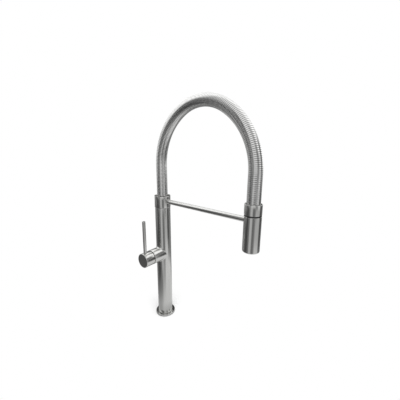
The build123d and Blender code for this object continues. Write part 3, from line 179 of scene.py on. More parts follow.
def eased(corners, radius, steps=4):
    """The closed outline through these corners with each one rounded: an arc of the given radius,
    one for all or one for each, or less where a side is short, swept from the tangent point on one
    side to that on the next."""
    corners = np.asarray(corners, float)
    before = np.roll(corners, 1, axis=0) - corners
    after = np.roll(corners, -1, axis=0) - corners
    short = np.minimum(np.linalg.norm(before, axis=1), np.linalg.norm(after, axis=1))
    before /= np.linalg.norm(before, axis=1)[:, None]
    after /= np.linalg.norm(after, axis=1)[:, None]
    half = np.arccos(np.clip((before * after).sum(1), -1, 1)) / 2
    cut = np.minimum(radius / np.tan(half), ROUNDED_SHARE * short)
    rounding = cut * np.tan(half)
    inward = before + after
    inward /= np.linalg.norm(inward, axis=1)[:, None]
    centre = corners + inward * (rounding / np.sin(half))[:, None]
    start = corners + before * cut[:, None] - centre
    end = corners + after * cut[:, None] - centre
    turn = pi - 2 * half
    share = np.linspace(0, 1, steps)[:, None]
    from_start, from_end = np.sin((1 - share) * turn), np.sin(share * turn)
    arc = from_start[:, :, None] * start + from_end[:, :, None] * end
    arc /= np.sin(turn)[None, :, None]
    return np.swapaxes(centre + arc, 0, 1).reshape(-1, 2)


def grid_faces(rows, columns, closed):
    """Four-cornered faces of a grid that closes round its columns, and round its rows if closed."""
    i = np.arange(rows if closed else rows - 1)[:, None]
    j = np.arange(columns)[None, :]
    j_next = (j + 1) % columns
    row, next_row = i * columns, (i + 1) % rows * columns
    corners = (row + j, row + j_next, next_row + j_next, next_row + j)
    return np.stack(corners, axis=-1).reshape(-1, 4).tolist()


def lathe(profile, centre, segments, axes=UPRIGHT):
    """A surface of revolution: each point (radius, height) of the closed profile is carried round
    the third axis, at radius times (cos, sin) across it and its height along it."""
    angle = np.linspace(0, 2 * pi, segments, endpoint=False)
    radius, height = np.asarray(profile).T[:, :, None]
    local = np.stack([radius * np.cos(angle), radius * np.sin(angle), height + 0 * angle], axis=-1)
    return local.reshape(-1, 3) @ axes + centre, grid_faces(len(profile), segments, True)


def capped(rings, segments, ends):
    """A skin over these rings of points, whose first and last ring close to one point each."""
    first, last, top = len(rings), len(rings) + 1, len(rings) - segments
    j = np.arange(segments)
    j_next = (j + 1) % segments
    fans = np.vstack([
        np.stack([j_next, j, 0 * j + first], axis=-1),
        np.stack([top + j, top + j_next, 0 * j + last], axis=-1),
    ])
    faces = grid_faces(len(rings) // segments, segments, False) + fans.tolist()
    return np.vstack([rings, ends]), faces


def solid_lathe(profile, centre, segments, axes=UPRIGHT):
    """The same for a profile that starts and ends on the axis: its two ends are single points."""
    rings, _ = lathe(profile[1:-1], centre, segments, axes)
    ends = np.array([[0, 0, profile[0][1]], [0, 0, profile[-1][1]]]) @ axes + centre
    return capped(rings, segments, ends)


def pin(radius, start, end, centre, segments):
    """A plain upright pin, to cut a bore with."""
    return solid_lathe([(0, start), (radius, start), (radius, end), (0, end)], centre, segments)


def tube_outline(bore, radius, low, high):
    """The four corners of a plain tube's wall, as radius and height."""
    return [(bore, low), (radius, low), (radius, high), (bore, high)]


def turned_profile(corners, edges, steps=5):
    """The profile of a solid of revolution from the axis through these corners and back to it, each
    corner rounded by its own edge radius."""
    mirrored = [(-across, along) for across, along in corners[::-1]]
    rounded = eased(corners + mirrored, edges + edges[::-1], steps)
    half = rounded[rounded[:, 0] > 0]
    return np.vstack([[0.0, half[0, 1]], half, [0.0, half[-1, 1]]])


def joined(surfaces):
    """Several surfaces, each given as its points and faces, as one."""
    points, faces = [], []
    for vertices, corners in surfaces:
        faces += [[corner + len(points) for corner in face] for face in corners]
        points += list(vertices)
    return np.array(points), faces


def outward_mesh(name, surface):
    """A mesh of these points and faces, turned to face outwards."""
    vertices, faces = surface
    mesh = bpy.data.meshes.new(name)
    mesh.from_pydata(vertices.tolist(), [], faces)
    if signed_volume(mesh) < 0:
        mesh.flip_normals()
    return mesh


def cut_away(piece, cutters):
    """Takes closed surfaces, given as points and faces, out of a piece."""
    tool = bpy.data.objects.new("cutters", outward_mesh("cutters", joined(cutters)))
    bpy.context.scene.collection.objects.link(tool)
    cut = piece.modifiers.new("cut", "BOOLEAN")
    cut.operation, cut.solver, cut.object, cut.use_self = "DIFFERENCE", "EXACT", tool, True
    graph = bpy.context.evaluated_depsgraph_get()
    whole = piece.evaluated_get(graph)
    result = bpy.data.meshes.new_from_object(whole, preserve_all_data_layers=True, depsgraph=graph)
    piece.modifiers.remove(cut)
    piece.data = result
    bpy.data.objects.remove(tool)
    if not result.polygons:
        raise RuntimeError("nothing is left of " + piece.name)
    result.set_sharp_from_angle(angle=radians(SHARP_EDGE))


def new_piece(
    name, surface, material, node, body=None,
    along=(0, 0, 1), sharp=SHARP_EDGE, bores=(),
):
    """A mesh object of this surface that stands for one node and rides on its body. It is smooth
    except over sharp edges, the bores are cut out of it, and it has a map in metres whose first
    axis runs along the piece and whose second runs round it."""
    mesh = outward_mesh(name, surface)
    mesh.polygons.foreach_set("use_smooth", np.ones(len(mesh.polygons), bool))
    mesh.set_sharp_from_angle(angle=radians(sharp))
    vertices, axis = surface[0], np.asarray(along, float)
    corner = np.empty(len(mesh.loops), np.int32)
    mesh.loops.foreach_get("vertex_index", corner)
    places = vertices[corner]
    side = np.cross(axis, [0.3, 0.5, 0.81])
    side /= np.linalg.norm(side)
    other = np.cross(axis, side)
    offset = places - vertices.mean(0)
    flat = np.stack([offset @ side, offset @ other], axis=-1)
    round_it = np.arctan2(flat[:, 1], flat[:, 0]) * np.median(np.linalg.norm(flat, axis=1))
    chart = mesh.uv_layers.new(name="grain")
    chart.uv.foreach_set("vector", np.stack([places @ axis, round_it], axis=-1).ravel())
    mesh.materials.append(material)
    piece = bpy.data.objects.new(name, mesh)
    bpy.context.scene.collection.objects.link(piece)
    if bores:
        cut_away(piece, bores)
    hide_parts(node)
    if body:
        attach(piece, body)
    return piece


def turned_piece(
    name, outline, rounding, material, node, body, segments,
    centre=COLUMN_CENTRE, steps=4,
):
    """A ring turned about an upright line from this outline, with its corners rounded."""
    ring = lathe(eased(outline, rounding, steps), centre, segments)
    return new_piece(name, ring, material, node, body)


def signed_volume(mesh):
    """Six times the volume inside a closed mesh, negative where its faces point inwards."""
    mesh.calc_loop_triangles()
    corners = np.empty(len(mesh.loop_triangles) * 3, np.int32)
    mesh.loop_triangles.foreach_get("vertices", corners)
    places = np.empty(len(mesh.vertices) * 3, np.float32)
    mesh.vertices.foreach_get("co", places)
    a, b, c = np.swapaxes(places.reshape(-1, 3)[corners.reshape(-1, 3)], 0, 1)
    return (np.cross(a, b) * c).sum()


# ======== Materials ========

FLANGE_POLISH = 0.6  # the flange's roughness, as a share of the brushed steel's
GAP_DULLNESS = 4  # roughness between the hose's ribs, as a multiple of its crests'


def add_node(tree, kind, settings=None, links=None):
    """Adds one node. A setting is a property of the node or the value of an input, by name or
    number, and a link joins an input to another node's output."""
    made = tree.nodes.new(kind)
    for name, value in (settings or {}).items():
        if isinstance(name, int) or name in made.inputs:
            made.inputs[name].default_value = value
        else:
            setattr(made, name, value)
    for name, source in (links or {}).items():
        tree.links.new(source, made.inputs[name])
    return made


def empty_material(name):
    """A material whose tree holds nothing but its output."""
    material = bpy.data.materials.new(name)
    material.use_nodes = True
    material.node_tree.nodes.clear()
    return material, material.node_tree


def grained(tree, grain, tones, roughness, strength, depth):
    """The colour, roughness and normal that one grain pattern gives a surface: from the darker
    tone to the lighter, from 15 % glossier to 10 % duller, and with a relief of this depth."""
    tone = add_node(
        tree, "ShaderNodeMix",
        {"data_type": "RGBA", 6: (*tones[0], 1), 7: (*tones[1], 1)},
        {"Factor": grain.outputs["Fac"]},
    )
    rough = add_node(
        tree, "ShaderNodeMapRange",
        {"From Min": 0.3, "From Max": 0.7, "To Min": roughness * 0.85, "To Max": roughness * 1.1},
        {"Value": grain.outputs["Fac"]},
    )
    relief = add_node(
        tree, "ShaderNodeBump",
        {"Strength": strength, "Distance": depth},
        {"Height": grain.outputs["Fac"]},
    )
    return tone.outputs["Result"], rough.outputs["Result"], relief.outputs["Normal"]


def brushed_steel(name, colour, grain_axis, roughness, anisotropy=0.5):
    """Stainless steel turned against a grit belt, so that fine scratches run round grain_axis.
    They smear a reflection along the axis and leave it crisp across, and the grey stays neutral.
    Real scratches are 0.02 to 0.05 mm apart; they are drawn 0.2 mm apart and 20 mm long, each a
    little lighter or darker and glossier or duller, over the slow dulling that hands leave."""
    material, tree = empty_material(name)
    scale = [1 / (20 * MM)] * 3
    scale[grain_axis] = 1 / (0.2 * MM)
    place = add_node(tree, "ShaderNodeTexCoord")
    stretched = add_node(
        tree, "ShaderNodeMapping", {"Scale": scale}, {"Vector": place.outputs["Object"]}
    )
    scratches = add_node(
        tree, "ShaderNodeTexNoise",
        {"Scale": 1.0, "Detail": 3.0, "Roughness": 0.6},
        {"Vector": stretched.outputs["Vector"]},
    )
    handling = add_node(
        tree, "ShaderNodeTexNoise",
        {"Scale": 1 / (25 * MM), "Detail": 2.0},
        {"Vector": place.outputs["Object"]},
    )
    tones = [[level * share for level in colour] for share in (0.92, 1.06)]
    tone, scratch_rough, relief = grained(tree, scratches, tones, roughness, 0.05, 0.004 * MM)
    rough = add_node(
        tree, "ShaderNodeMath",
        {"operation": "MULTIPLY_ADD", 1: 0.04, "use_clamp": True},
        {0: handling.outputs["Fac"], 2: scratch_rough},
    )
    along_grain = add_node(
        tree, "ShaderNodeTangent", {"direction_type": "UV_MAP", "uv_map": "grain"}
    )
    surface = add_node(
        tree, "ShaderNodeBsdfPrincipled",
        {"Metallic": 1.0, "Anisotropic": anisotropy},
        {
            "Base Color": tone,
            "Roughness": rough.outputs["Value"],
            "Normal": relief,
            "Tangent": along_grain.outputs["Tangent"],
        },
    )
    add_node(tree, "ShaderNodeOutputMaterial", links={"Surface": surface.outputs["BSDF"]})
    return material


def plain_finish(name, colour, roughness, metallic=0.0):
    """A cast, moulded or machined surface: an even colour with a fine speckle in tone, gloss and
    height. The speckle is 0.6 mm wide and 0.02 mm deep, which is that of a mould's spark grain
    or a tool's marks, and up to 8 % darker."""
    material, tree = empty_material(name)
    place = add_node(tree, "ShaderNodeTexCoord")
    speckle = add_node(
        tree, "ShaderNodeTexNoise",
        {"Scale": 1 / (0.6 * MM), "Detail": 3.0, "Roughness": 0.55},
        {"Vector": place.outputs["Object"]},
    )
    tones = [[level * share for level in colour] for share in (1 - 0.08, 1)]
    tone, rough, relief = grained(tree, speckle, tones, roughness, 0.3, 0.02 * MM)
    surface = add_node(
        tree, "ShaderNodeBsdfPrincipled",
        {"Metallic": metallic},
        {"Base Color": tone, "Roughness": rough, "Normal": relief},
    )
    add_node(tree, "ShaderNodeOutputMaterial", links={"Surface": surface.outputs["BSDF"]})
    return material


# ======== Settings ========


def colour_setting(name, description, text):
    """A colour that a user may change, which starts as this sRGB hex value."""
    return FloatVectorProperty(
        name=name, description=description, subtype="COLOR", default=hex_colour(text), min=0, max=1
    )


def length_setting(name, description, default, **limits):
    """A length in metres that a user may change."""
    return FloatProperty(
        name=name, description=description, subtype="DISTANCE", unit="LENGTH",
        default=default, **limits,
    )


def place_setting(name, description, default):
    """A point in metres that a user may move."""
    return FloatVectorProperty(
        name=name, description=description, subtype="TRANSLATION", unit="LENGTH", default=default
    )


def angle_setting(name, description, degrees):
    """An angle that a user may change, which starts at this many degrees."""
    return FloatProperty(
        name=name, description=description, subtype="ANGLE", unit="ROTATION",
        default=radians(degrees),
    )


def share_setting(name, description, default, low, high):
    """A roughness or share without a unit that a user may change."""
    return FloatProperty(name=name, description=description, default=default, min=low, max=high)


class MixerFinish(bpy.types.PropertyGroup):
    """Colours and roughness of the tap's materials."""

    steel: colour_setting("Steel", "Colour of the brushed stainless steel", "#CFCFCD")
    hose_steel: colour_setting("Hose steel", "Colour of the ribbed hose", "#E0E0DF")
    # Dark grey between the ribs: painted shade in the narrow gaps, on steel that is also unpolished
    # there.
    hose_gap_shade: colour_setting(
        "Hose gap", "Colour of the unpolished steel between the hose's ribs", "#606060"
    )
    brass: colour_setting("Brass", "Colour of the machined brass inside", "#C9A75C")
    black: colour_setting(
        "Black plastic", "Colour of the ring between sleeve and head", "#1B1B1C"
    )
    silicone: colour_setting("Silicone", "Colour of the spray face", "#3A3B3D")
    steel_roughness: share_setting(
        "Steel roughness", "Roughness of the brushed steel", 0.13, 0.05, 0.8
    )
    hose_roughness: share_setting(
        "Hose roughness", "Roughness of the ribbed hose", 0.10, 0.05, 0.8
    )


class MixerShape(bpy.types.PropertyGroup):
    """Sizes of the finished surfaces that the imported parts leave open."""

    edge: length_setting(
        "Edge", "Rounding of the steel pieces' edges", 0.3 * MM, min=0.05 * MM, max=2 * MM
    )
    flange_edge: length_setting(
        "Flange edge", "Rounding of the flange's upper edge",
        0.8 * MM, min=0.05 * MM, max=2 * MM,
    )
    knob_edge: length_setting(
        "Knob edge", "Rounding of the knob's outer end", 1.0 * MM, min=0.05 * MM, max=3 * MM
    )
    lever_edge: length_setting(
        "Lever edge", "Rounding of the lever's tip", 0.6 * MM, min=0.05 * MM, max=3 * MM
    )
    head_edge: length_setting(
        "Head edge", "Rounding of the spray head's lower edge",
        2.4 * MM, min=0.05 * MM, max=4 * MM,
    )
    weld: length_setting(
        "Weld", "Radius of the polished weld between housing and column",
        4.0 * MM, min=0.5 * MM, max=8 * MM,
    )
    nozzle_foot: length_setting(
        "Nozzle foot", "Radius of a nozzle's cone where it leaves the face",
        1.15 * MM, min=0.6 * MM, max=2 * MM,
    )
    nozzle_rise: length_setting(
        "Nozzle rise", "How far the nozzles stand proud of the face",
        0.5 * MM, min=0.1 * MM, max=2 * MM,
    )
    rib_pitch: length_setting(
        "Rib pitch", "Distance from one rib of the hose to the next",
        3.05 * MM, min=2 * MM, max=8 * MM,
    )
    rib_depth: length_setting(
        "Rib depth", "How far the grooves lie below the ribs' crests",
        0.7 * MM, min=0.2 * MM, max=2 * MM,
    )
    rib_bulge: length_setting(
        "Rib bulge", "How much a crest swells in its middle", 0.05 * MM, min=0, max=0.5 * MM
    )
    groove_mouth: share_setting(
        "Groove mouth", "Width of a groove at the crests, as a share of the pitch", 0.24, 0.05, 0.9
    )
    groove_floor: share_setting(
        "Groove floor", "Width of a groove at its root, as a share of the pitch", 0.1, 0.01, 0.8
    )
    crest_margin: share_setting(
        "Crest margin", "Width of a crest's rounded side, as a share of the pitch",
        0.04, 0.01, 0.2,
    )
    spring_height: length_setting(
        "Spring height", "Height where the hose's straight legs turn into the arch", 372.8 * MM
    )
    crown_radius: length_setting(
        "Crown radius", "Radius of the hose's centreline over the top of the arch", 100 * MM
    )
    segments: IntProperty(
        name="Segments", description="Faces round each turned piece", default=144, min=24, max=256,
    )


class MixerStage(bpy.types.PropertyGroup):
    """Camera, lamp and studio."""

    camera_place: place_setting(
        "Camera place", "Where the camera stands", (-0.3496, -0.3989, 0.4169)
    )
    camera_yaw: angle_setting("Camera yaw", "Turn of the view from +X towards +Y", 39.41)
    camera_pitch: angle_setting("Camera pitch", "Tilt of the view below the horizon", 13.25)
    camera_roll: angle_setting("Camera roll", "Turn of the picture about the view", 0.53)
    lens: FloatProperty(
        name="Lens", description="Focal length in millimetres for a frame 36 mm wide",
        default=21.03,
    )
    dome_centre: place_setting(
        "Dome centre", "Middle of the studio dome that the steel mirrors", (0.0, -0.11, 0.25)
    )
    dome_radius: length_setting("Dome radius", "Radius of the studio dome", 0.7)
    sheet_centre: place_setting(
        "Sheet centre", "Middle of the part of the floor that the steel mirrors",
        (0.06, -0.07, 0.0),
    )
    floor_level: FloatProperty(
        name="Floor level",
        description="Brightness of the floor beside the tap, as the steel mirrors it",
        default=0.80, min=0,
    )
    overhead: FloatProperty(
        name="Overhead light", description="Power of the soft lamp above, in watts",
        default=22.0, min=0,
    )
    floor: colour_setting("Floor", "Colour of the pale floor", "#FAFAFA")


# ======== Column and base ========


class MIXER_OT_column(bpy.types.Operator):
    """Makes the column's tube and the flange it stands on"""

    bl_idname = "mixer.column"
    bl_label = "Column and flange"

    def execute(self, context):
        shape, finish = context.scene.mixer_shape, context.scene.mixer_finish
        steel = brushed_steel("brushed_stainless_upright", finish.steel, Z, finish.steel_roughness)
        wall = tube_outline(
            COLUMN.radius - COLUMN_WALL, COLUMN.radius, COLUMN.low[2], COLUMN.high[2]
        )
        turned_piece(
            "column_finish", wall, shape.edge, steel, "column_tube", "column", shape.segments
        )

        bore = COLUMN.radius + FIT
        flange = [
            (bore, FLANGE.low[2]), (GASKET_GROOVE[0], FLANGE.low[2]),
            (GASKET_GROOVE[0], GASKET_DEPTH), (GASKET_GROOVE[1], GASKET_DEPTH),
            (GASKET_GROOVE[1], FLANGE.low[2]), (FLANGE.radius, FLANGE.low[2]),
            (FLANGE.radius, FLANGE.high[2]), (bore, FLANGE.high[2]),
        ]
        edges = [shape.edge] * 6 + [shape.flange_edge, shape.edge]
        # Turned and polished on the lathe: no lay of scratches, and sharper reflections.
        polished = brushed_steel(
            "turned_stainless_flange", finish.steel, Z, finish.steel_roughness * FLANGE_POLISH, 0.0
        )
        turned_piece(
            "flange_finish", flange, edges, polished, "base_flange", "column", shape.segments,
            steps=6,
        )
        return {"FINISHED"}


# ======== Lever housing, knob and lever ========


class MIXER_OT_handle(bpy.types.Operator):
    """Makes the lever's housing, the knob and the lever"""

    bl_idname = "mixer.handle"
    bl_label = "Housing, knob and lever"

    def execute(self, context):
        shape, finish = context.scene.mixer_shape, context.scene.mixer_finish
        sideways = brushed_steel(
            "brushed_stainless_sideways", finish.steel, X, finish.steel_roughness
        )
        housing = self.welded_tube(shape.weld, shape.edge, shape.segments)
        new_piece(
            "housing_finish", housing, sideways, "valve_housing", "column",
            along=(1, 0, 0), sharp=SHARP_BY_WELD,
        )

        screw, radius = (GRUB.low + GRUB.high) / 2, (GRUB.high - GRUB.low)[1] / 2
        hole = pin(
            radius, GRUB.high[2], KNOB.low[2] - radius, screw * [1, 1, 0], shape.segments // 4
        )
        new_piece(
            "knob_finish", self.knob(shape), sideways, "handle_knob", "handle",
            along=(1, 0, 0), bores=[hole],
        )

        radius, seat = LEVER.high[1], KNOB.high[2] - LEVER_SEAT_DEPTH
        rod = turned_profile(
            [(radius, seat), (radius, LEVER.high[2])], [shape.edge, shape.lever_edge], 6
        )
        lever = solid_lathe(rod, LEVER_CENTRE, shape.segments // 2)
        upright = bpy.data.materials["brushed_stainless_upright"]
        new_piece("lever_finish", lever, upright, "lever_rod", "handle")
        return {"FINISHED"}

    def knob(self, shape):
        """A cup turned about the handle's axis, open towards the housing, with a bevel inside its
        rim and a boss in its floor."""
        start, end = -KNOB.high[0], -KNOB.low[0]
        radius, floor = KNOB.high[1], start + KNOB_POCKET
        corners = [
            (KNOB_BOSS_RADIUS, floor - KNOB_BOSS), (KNOB_BOSS_RADIUS, floor),
            (radius - KNOB_WALL, floor), (radius - KNOB_WALL, start + KNOB_LIP),
            (radius, start), (radius, end),
        ]
        cup = turned_profile(corners, [shape.edge] * 5 + [shape.knob_edge], 7)
        return solid_lathe(cup, HANDLE_CENTRE, shape.segments, SIDEWAYS)

    def welded_tube(self, weld, edge, segments):
        """The housing's tube and the weld that runs out of it onto the column. The weld is the arc
        that touches both walls weld * tan(turn / 2) away from where they meet, where turn is the
        angle between them: a conic with that corner as its middle point."""
        outer = HOUSING.high[1]
        bore, end = outer - HOUSING_WALL, -HOUSING.low[0]
        angle = np.linspace(0, 2 * pi, segments, endpoint=False)
        seam = self.on_column(outer, angle)
        housing_normal = np.stack([0 * angle, np.sin(angle), np.cos(angle)], axis=-1)
        column_normal = seam * [1, 1, 0] / COLUMN.radius
        turn = np.arccos((housing_normal * column_normal).sum(1))
        seam_line = np.cross(housing_normal, column_normal)
        seam_line /= np.linalg.norm(seam_line, axis=1)[:, None]
        reach = (weld * np.tan(turn / 2))[:, None]
        wall_side = seam + reach * np.cross(seam_line, housing_normal)
        wall_turn = np.arctan2(wall_side[:, 1], wall_side[:, 2] - HANDLE_HEIGHT)
        wall_side = self.on_housing(-wall_side[:, 0], outer, wall_turn)
        column_side = seam - reach * np.cross(seam_line, column_normal)
        spread = np.hypot(column_side[:, 0], column_side[:, 1])
        column_side[:, :2] *= (COLUMN.radius / spread)[:, None]
        u = np.linspace(0, 1, WELD_STEPS)[:, None, None]
        pull = (1 - u) ** 2, 2 * u * (1 - u) * np.cos(turn / 2)[None, :, None], u ** 2
        arc = (pull[0] * column_side + pull[1] * seam + pull[2] * wall_side) / sum(pull)
        mouth = eased(tube_outline(bore, outer, 0.0, end), edge, 4)
        mouth = mouth[mouth[:, 1] > end / 2]
        rim = [self.on_housing(out + 0 * angle, radius, wall_turn) for radius, out in mouth]
        rings = np.concatenate([arc, np.array(rim), self.on_column(bore, wall_turn)[None]])
        return rings.reshape(-1, 3), grid_faces(len(rings), segments, True)

    @staticmethod
    def on_housing(out, radius, angle):
        """The point this far out along the handle's axis, at this radius and angle round it."""
        up = HANDLE_HEIGHT + radius * np.cos(angle)
        return np.stack([-out, radius * np.sin(angle), up], axis=-1)

    def on_column(self, radius, angle):
        """The point where the line at this radius r and angle t round the handle's axis meets the
        column's wall, which is out = sqrt(R^2 - (r sin t)^2) along that axis."""
        out = np.sqrt(COLUMN.radius ** 2 - (radius * np.sin(angle)) ** 2)
        return self.on_housing(out, radius, angle)


# ======== Swivel ring, arm and head ========


class MIXER_OT_ring_and_arm(bpy.types.Operator):
    """Makes the ring that turns on the column and the arm that holds the spray head"""

    bl_idname = "mixer.ring_and_arm"
    bl_label = "Swivel ring and docking arm"

    def execute(self, context):
        shape, finish = context.scene.mixer_shape, context.scene.mixer_finish
        upright = bpy.data.materials["brushed_stainless_upright"]
        floor, cup = LOWER_COLLAR.low[2], RING.radius - RING_CUP_WALL
        seal_low, seal_high = (RING.low[2] + height for height in SEAL_ZONE)
        outline = [
            (RING_BORE, RING.low[2]), (RING.radius, RING.low[2]), (RING.radius, RING.high[2]),
            (cup, RING.high[2]), (cup, floor), (RING_BORE, floor), (RING_BORE, seal_high),
            (SEAL_RADIUS, seal_high), (SEAL_RADIUS, seal_low), (RING_BORE, seal_low),
        ]
        turned_piece(
            "swivel_ring_finish", outline, shape.edge, upright, "swivel_ring", "spout",
            shape.segments,
        )
        level = brushed_steel("brushed_stainless_level", finish.steel, Y, finish.steel_roughness)
        arm = self.hollow_ended_rod(shape.segments // 2)
        new_piece("arm_finish", arm, level, "docking_arm", "spout", along=(0, 1, 0))
        return {"FINISHED"}

    def hollow_ended_rod(self, segments):
        """A rod along -Y: both end caps are disc grids of radius share s, whose points lie on the
        ring's cylinder, reach = sqrt(R^2 - x^2), and just off the head's, reach = D - sqrt(H^2 -
        x^2), with R and H their radii and D the head's distance."""
        radius = (ARM.high[2] - ARM.low[2]) / 2
        head = SHELL.radius + ARM_GAP
        caps = np.linspace(0, 1, 5)[1:]
        share = np.concatenate([caps, np.ones(3), caps[::-1]])
        blend = np.concatenate([np.zeros(4), [0.25, 0.5, 0.75], np.ones(4)])
        angle = np.linspace(0, 2 * pi, segments, endpoint=False)
        x = radius * share[:, None] * np.cos(angle)
        z = ARM_HEIGHT + radius * share[:, None] * np.sin(angle)
        near = np.sqrt(RING.radius ** 2 - x ** 2)
        far = REACH - np.sqrt(head ** 2 - x ** 2)
        y = -(near + (far - near) * blend[:, None])
        rings = np.stack([x, y, z], axis=-1).reshape(-1, 3)
        ends = np.array([[0, -RING.radius, ARM_HEIGHT], [0, head - REACH, ARM_HEIGHT]])
        return capped(rings, segments, ends)


class MIXER_OT_spray_head(bpy.types.Operator):
    """Makes the sleeve at the hose's end, the black ring and the spray head with its face"""

    bl_idname = "mixer.spray_head"
    bl_label = "Sleeve and spray head"

    def execute(self, context):
        shape, finish = context.scene.mixer_shape, context.scene.mixer_finish
        upright = bpy.data.materials["brushed_stainless_upright"]
        cup, floor = SLEEVE.radius - SLEEVE_WALL, UPPER_COLLAR.low[2]
        sleeve = [
            (SLEEVE_BORE, SLEEVE.low[2]), (SLEEVE.radius, SLEEVE.low[2]),
            (SLEEVE.radius, SLEEVE.high[2]), (cup, SLEEVE.high[2]), (cup, floor),
            (SLEEVE_BORE, floor),
        ]
        turned_piece(
            "sleeve_finish", sleeve, shape.edge, upright, "head_sleeve", "hose_end",
            shape.segments, HEAD_CENTRE,
        )
        # Moulded acetal: near black with a soft sheen.
        band = tube_outline(BAND_BORE, BAND.radius, BAND.low[2], BAND.high[2])
        turned_piece(
            "black_ring_finish", band, BAND_EDGE, plain_finish("black_acetal", finish.black, 0.42),
            "black_ring", "hose_end", shape.segments, HEAD_CENTRE,
        )
        bottom, inner = SHELL.low[2], SHELL.radius - SHELL_WALL
        shell = [
            (SHELL_MOUTH, bottom), (SHELL.radius, bottom), (SHELL.radius, SHELL.high[2]),
            (inner, SHELL.high[2]), (inner, bottom + SHELL_LIP),
            (SHELL_MOUTH, bottom + SHELL_LIP),
        ]
        edges = [shape.edge, shape.head_edge] + [shape.edge] * 4
        turned_piece(
            "spray_shell_finish", shell, edges, upright, "head_shell", "spray_head",
            shape.segments, HEAD_CENTRE, steps=8,
        )
        self.face(shape, finish)
        return {"FINISHED"}

    def face(self, shape, finish):
        """The soft disc with its nozzles: each is a cone whose rounded tip stands proud of the
        disc, bored right through, so that a thumb can rub the scale off it. Moulded silicone is
        dark and dull."""
        radius, rim = FACE.radius, SHELL_MOUTH - FIT
        tips, floor, top = FACE.low[2], FACE.low[2] + shape.nozzle_rise, FACE.high[2]
        shoulder = SHELL.low[2] + SHELL_LIP
        outline = [
            (AERATOR_BORE, floor), (rim, floor), (rim, shoulder), (radius, shoulder),
            (radius, top), (AERATOR_BORE, top),
        ]
        foot, tip = shape.nozzle_foot, NOZZLE_TIP * shape.nozzle_foot
        corners = [(tip, tips), (foot, floor), (foot, floor + NOZZLE_ROOT)]
        cone = turned_profile(corners, list(NOZZLE_EDGES), 4)
        surfaces, bores = [lathe(eased(outline, FACE_EDGE, 4), HEAD_CENTRE, FACE_SEGMENTS)], []
        for count, circle in NOZZLE_RINGS:
            for turn in np.arange(count) * 2 * pi / count:
                place = HEAD_CENTRE + circle * np.array([cos(turn), sin(turn), 0])
                surfaces.append(solid_lathe(cone, place, CONE_SEGMENTS))
                bores.append(pin(NOZZLE_BORE, tips - OVERCUT, top + OVERCUT, place, BORE_SEGMENTS))
        new_piece(
            "spray_face_finish", joined(surfaces),
            plain_finish("silicone_face", finish.silicone, 0.5),
            "spray_face", "spray_head", bores=bores,
        )


# ======== Hose ========


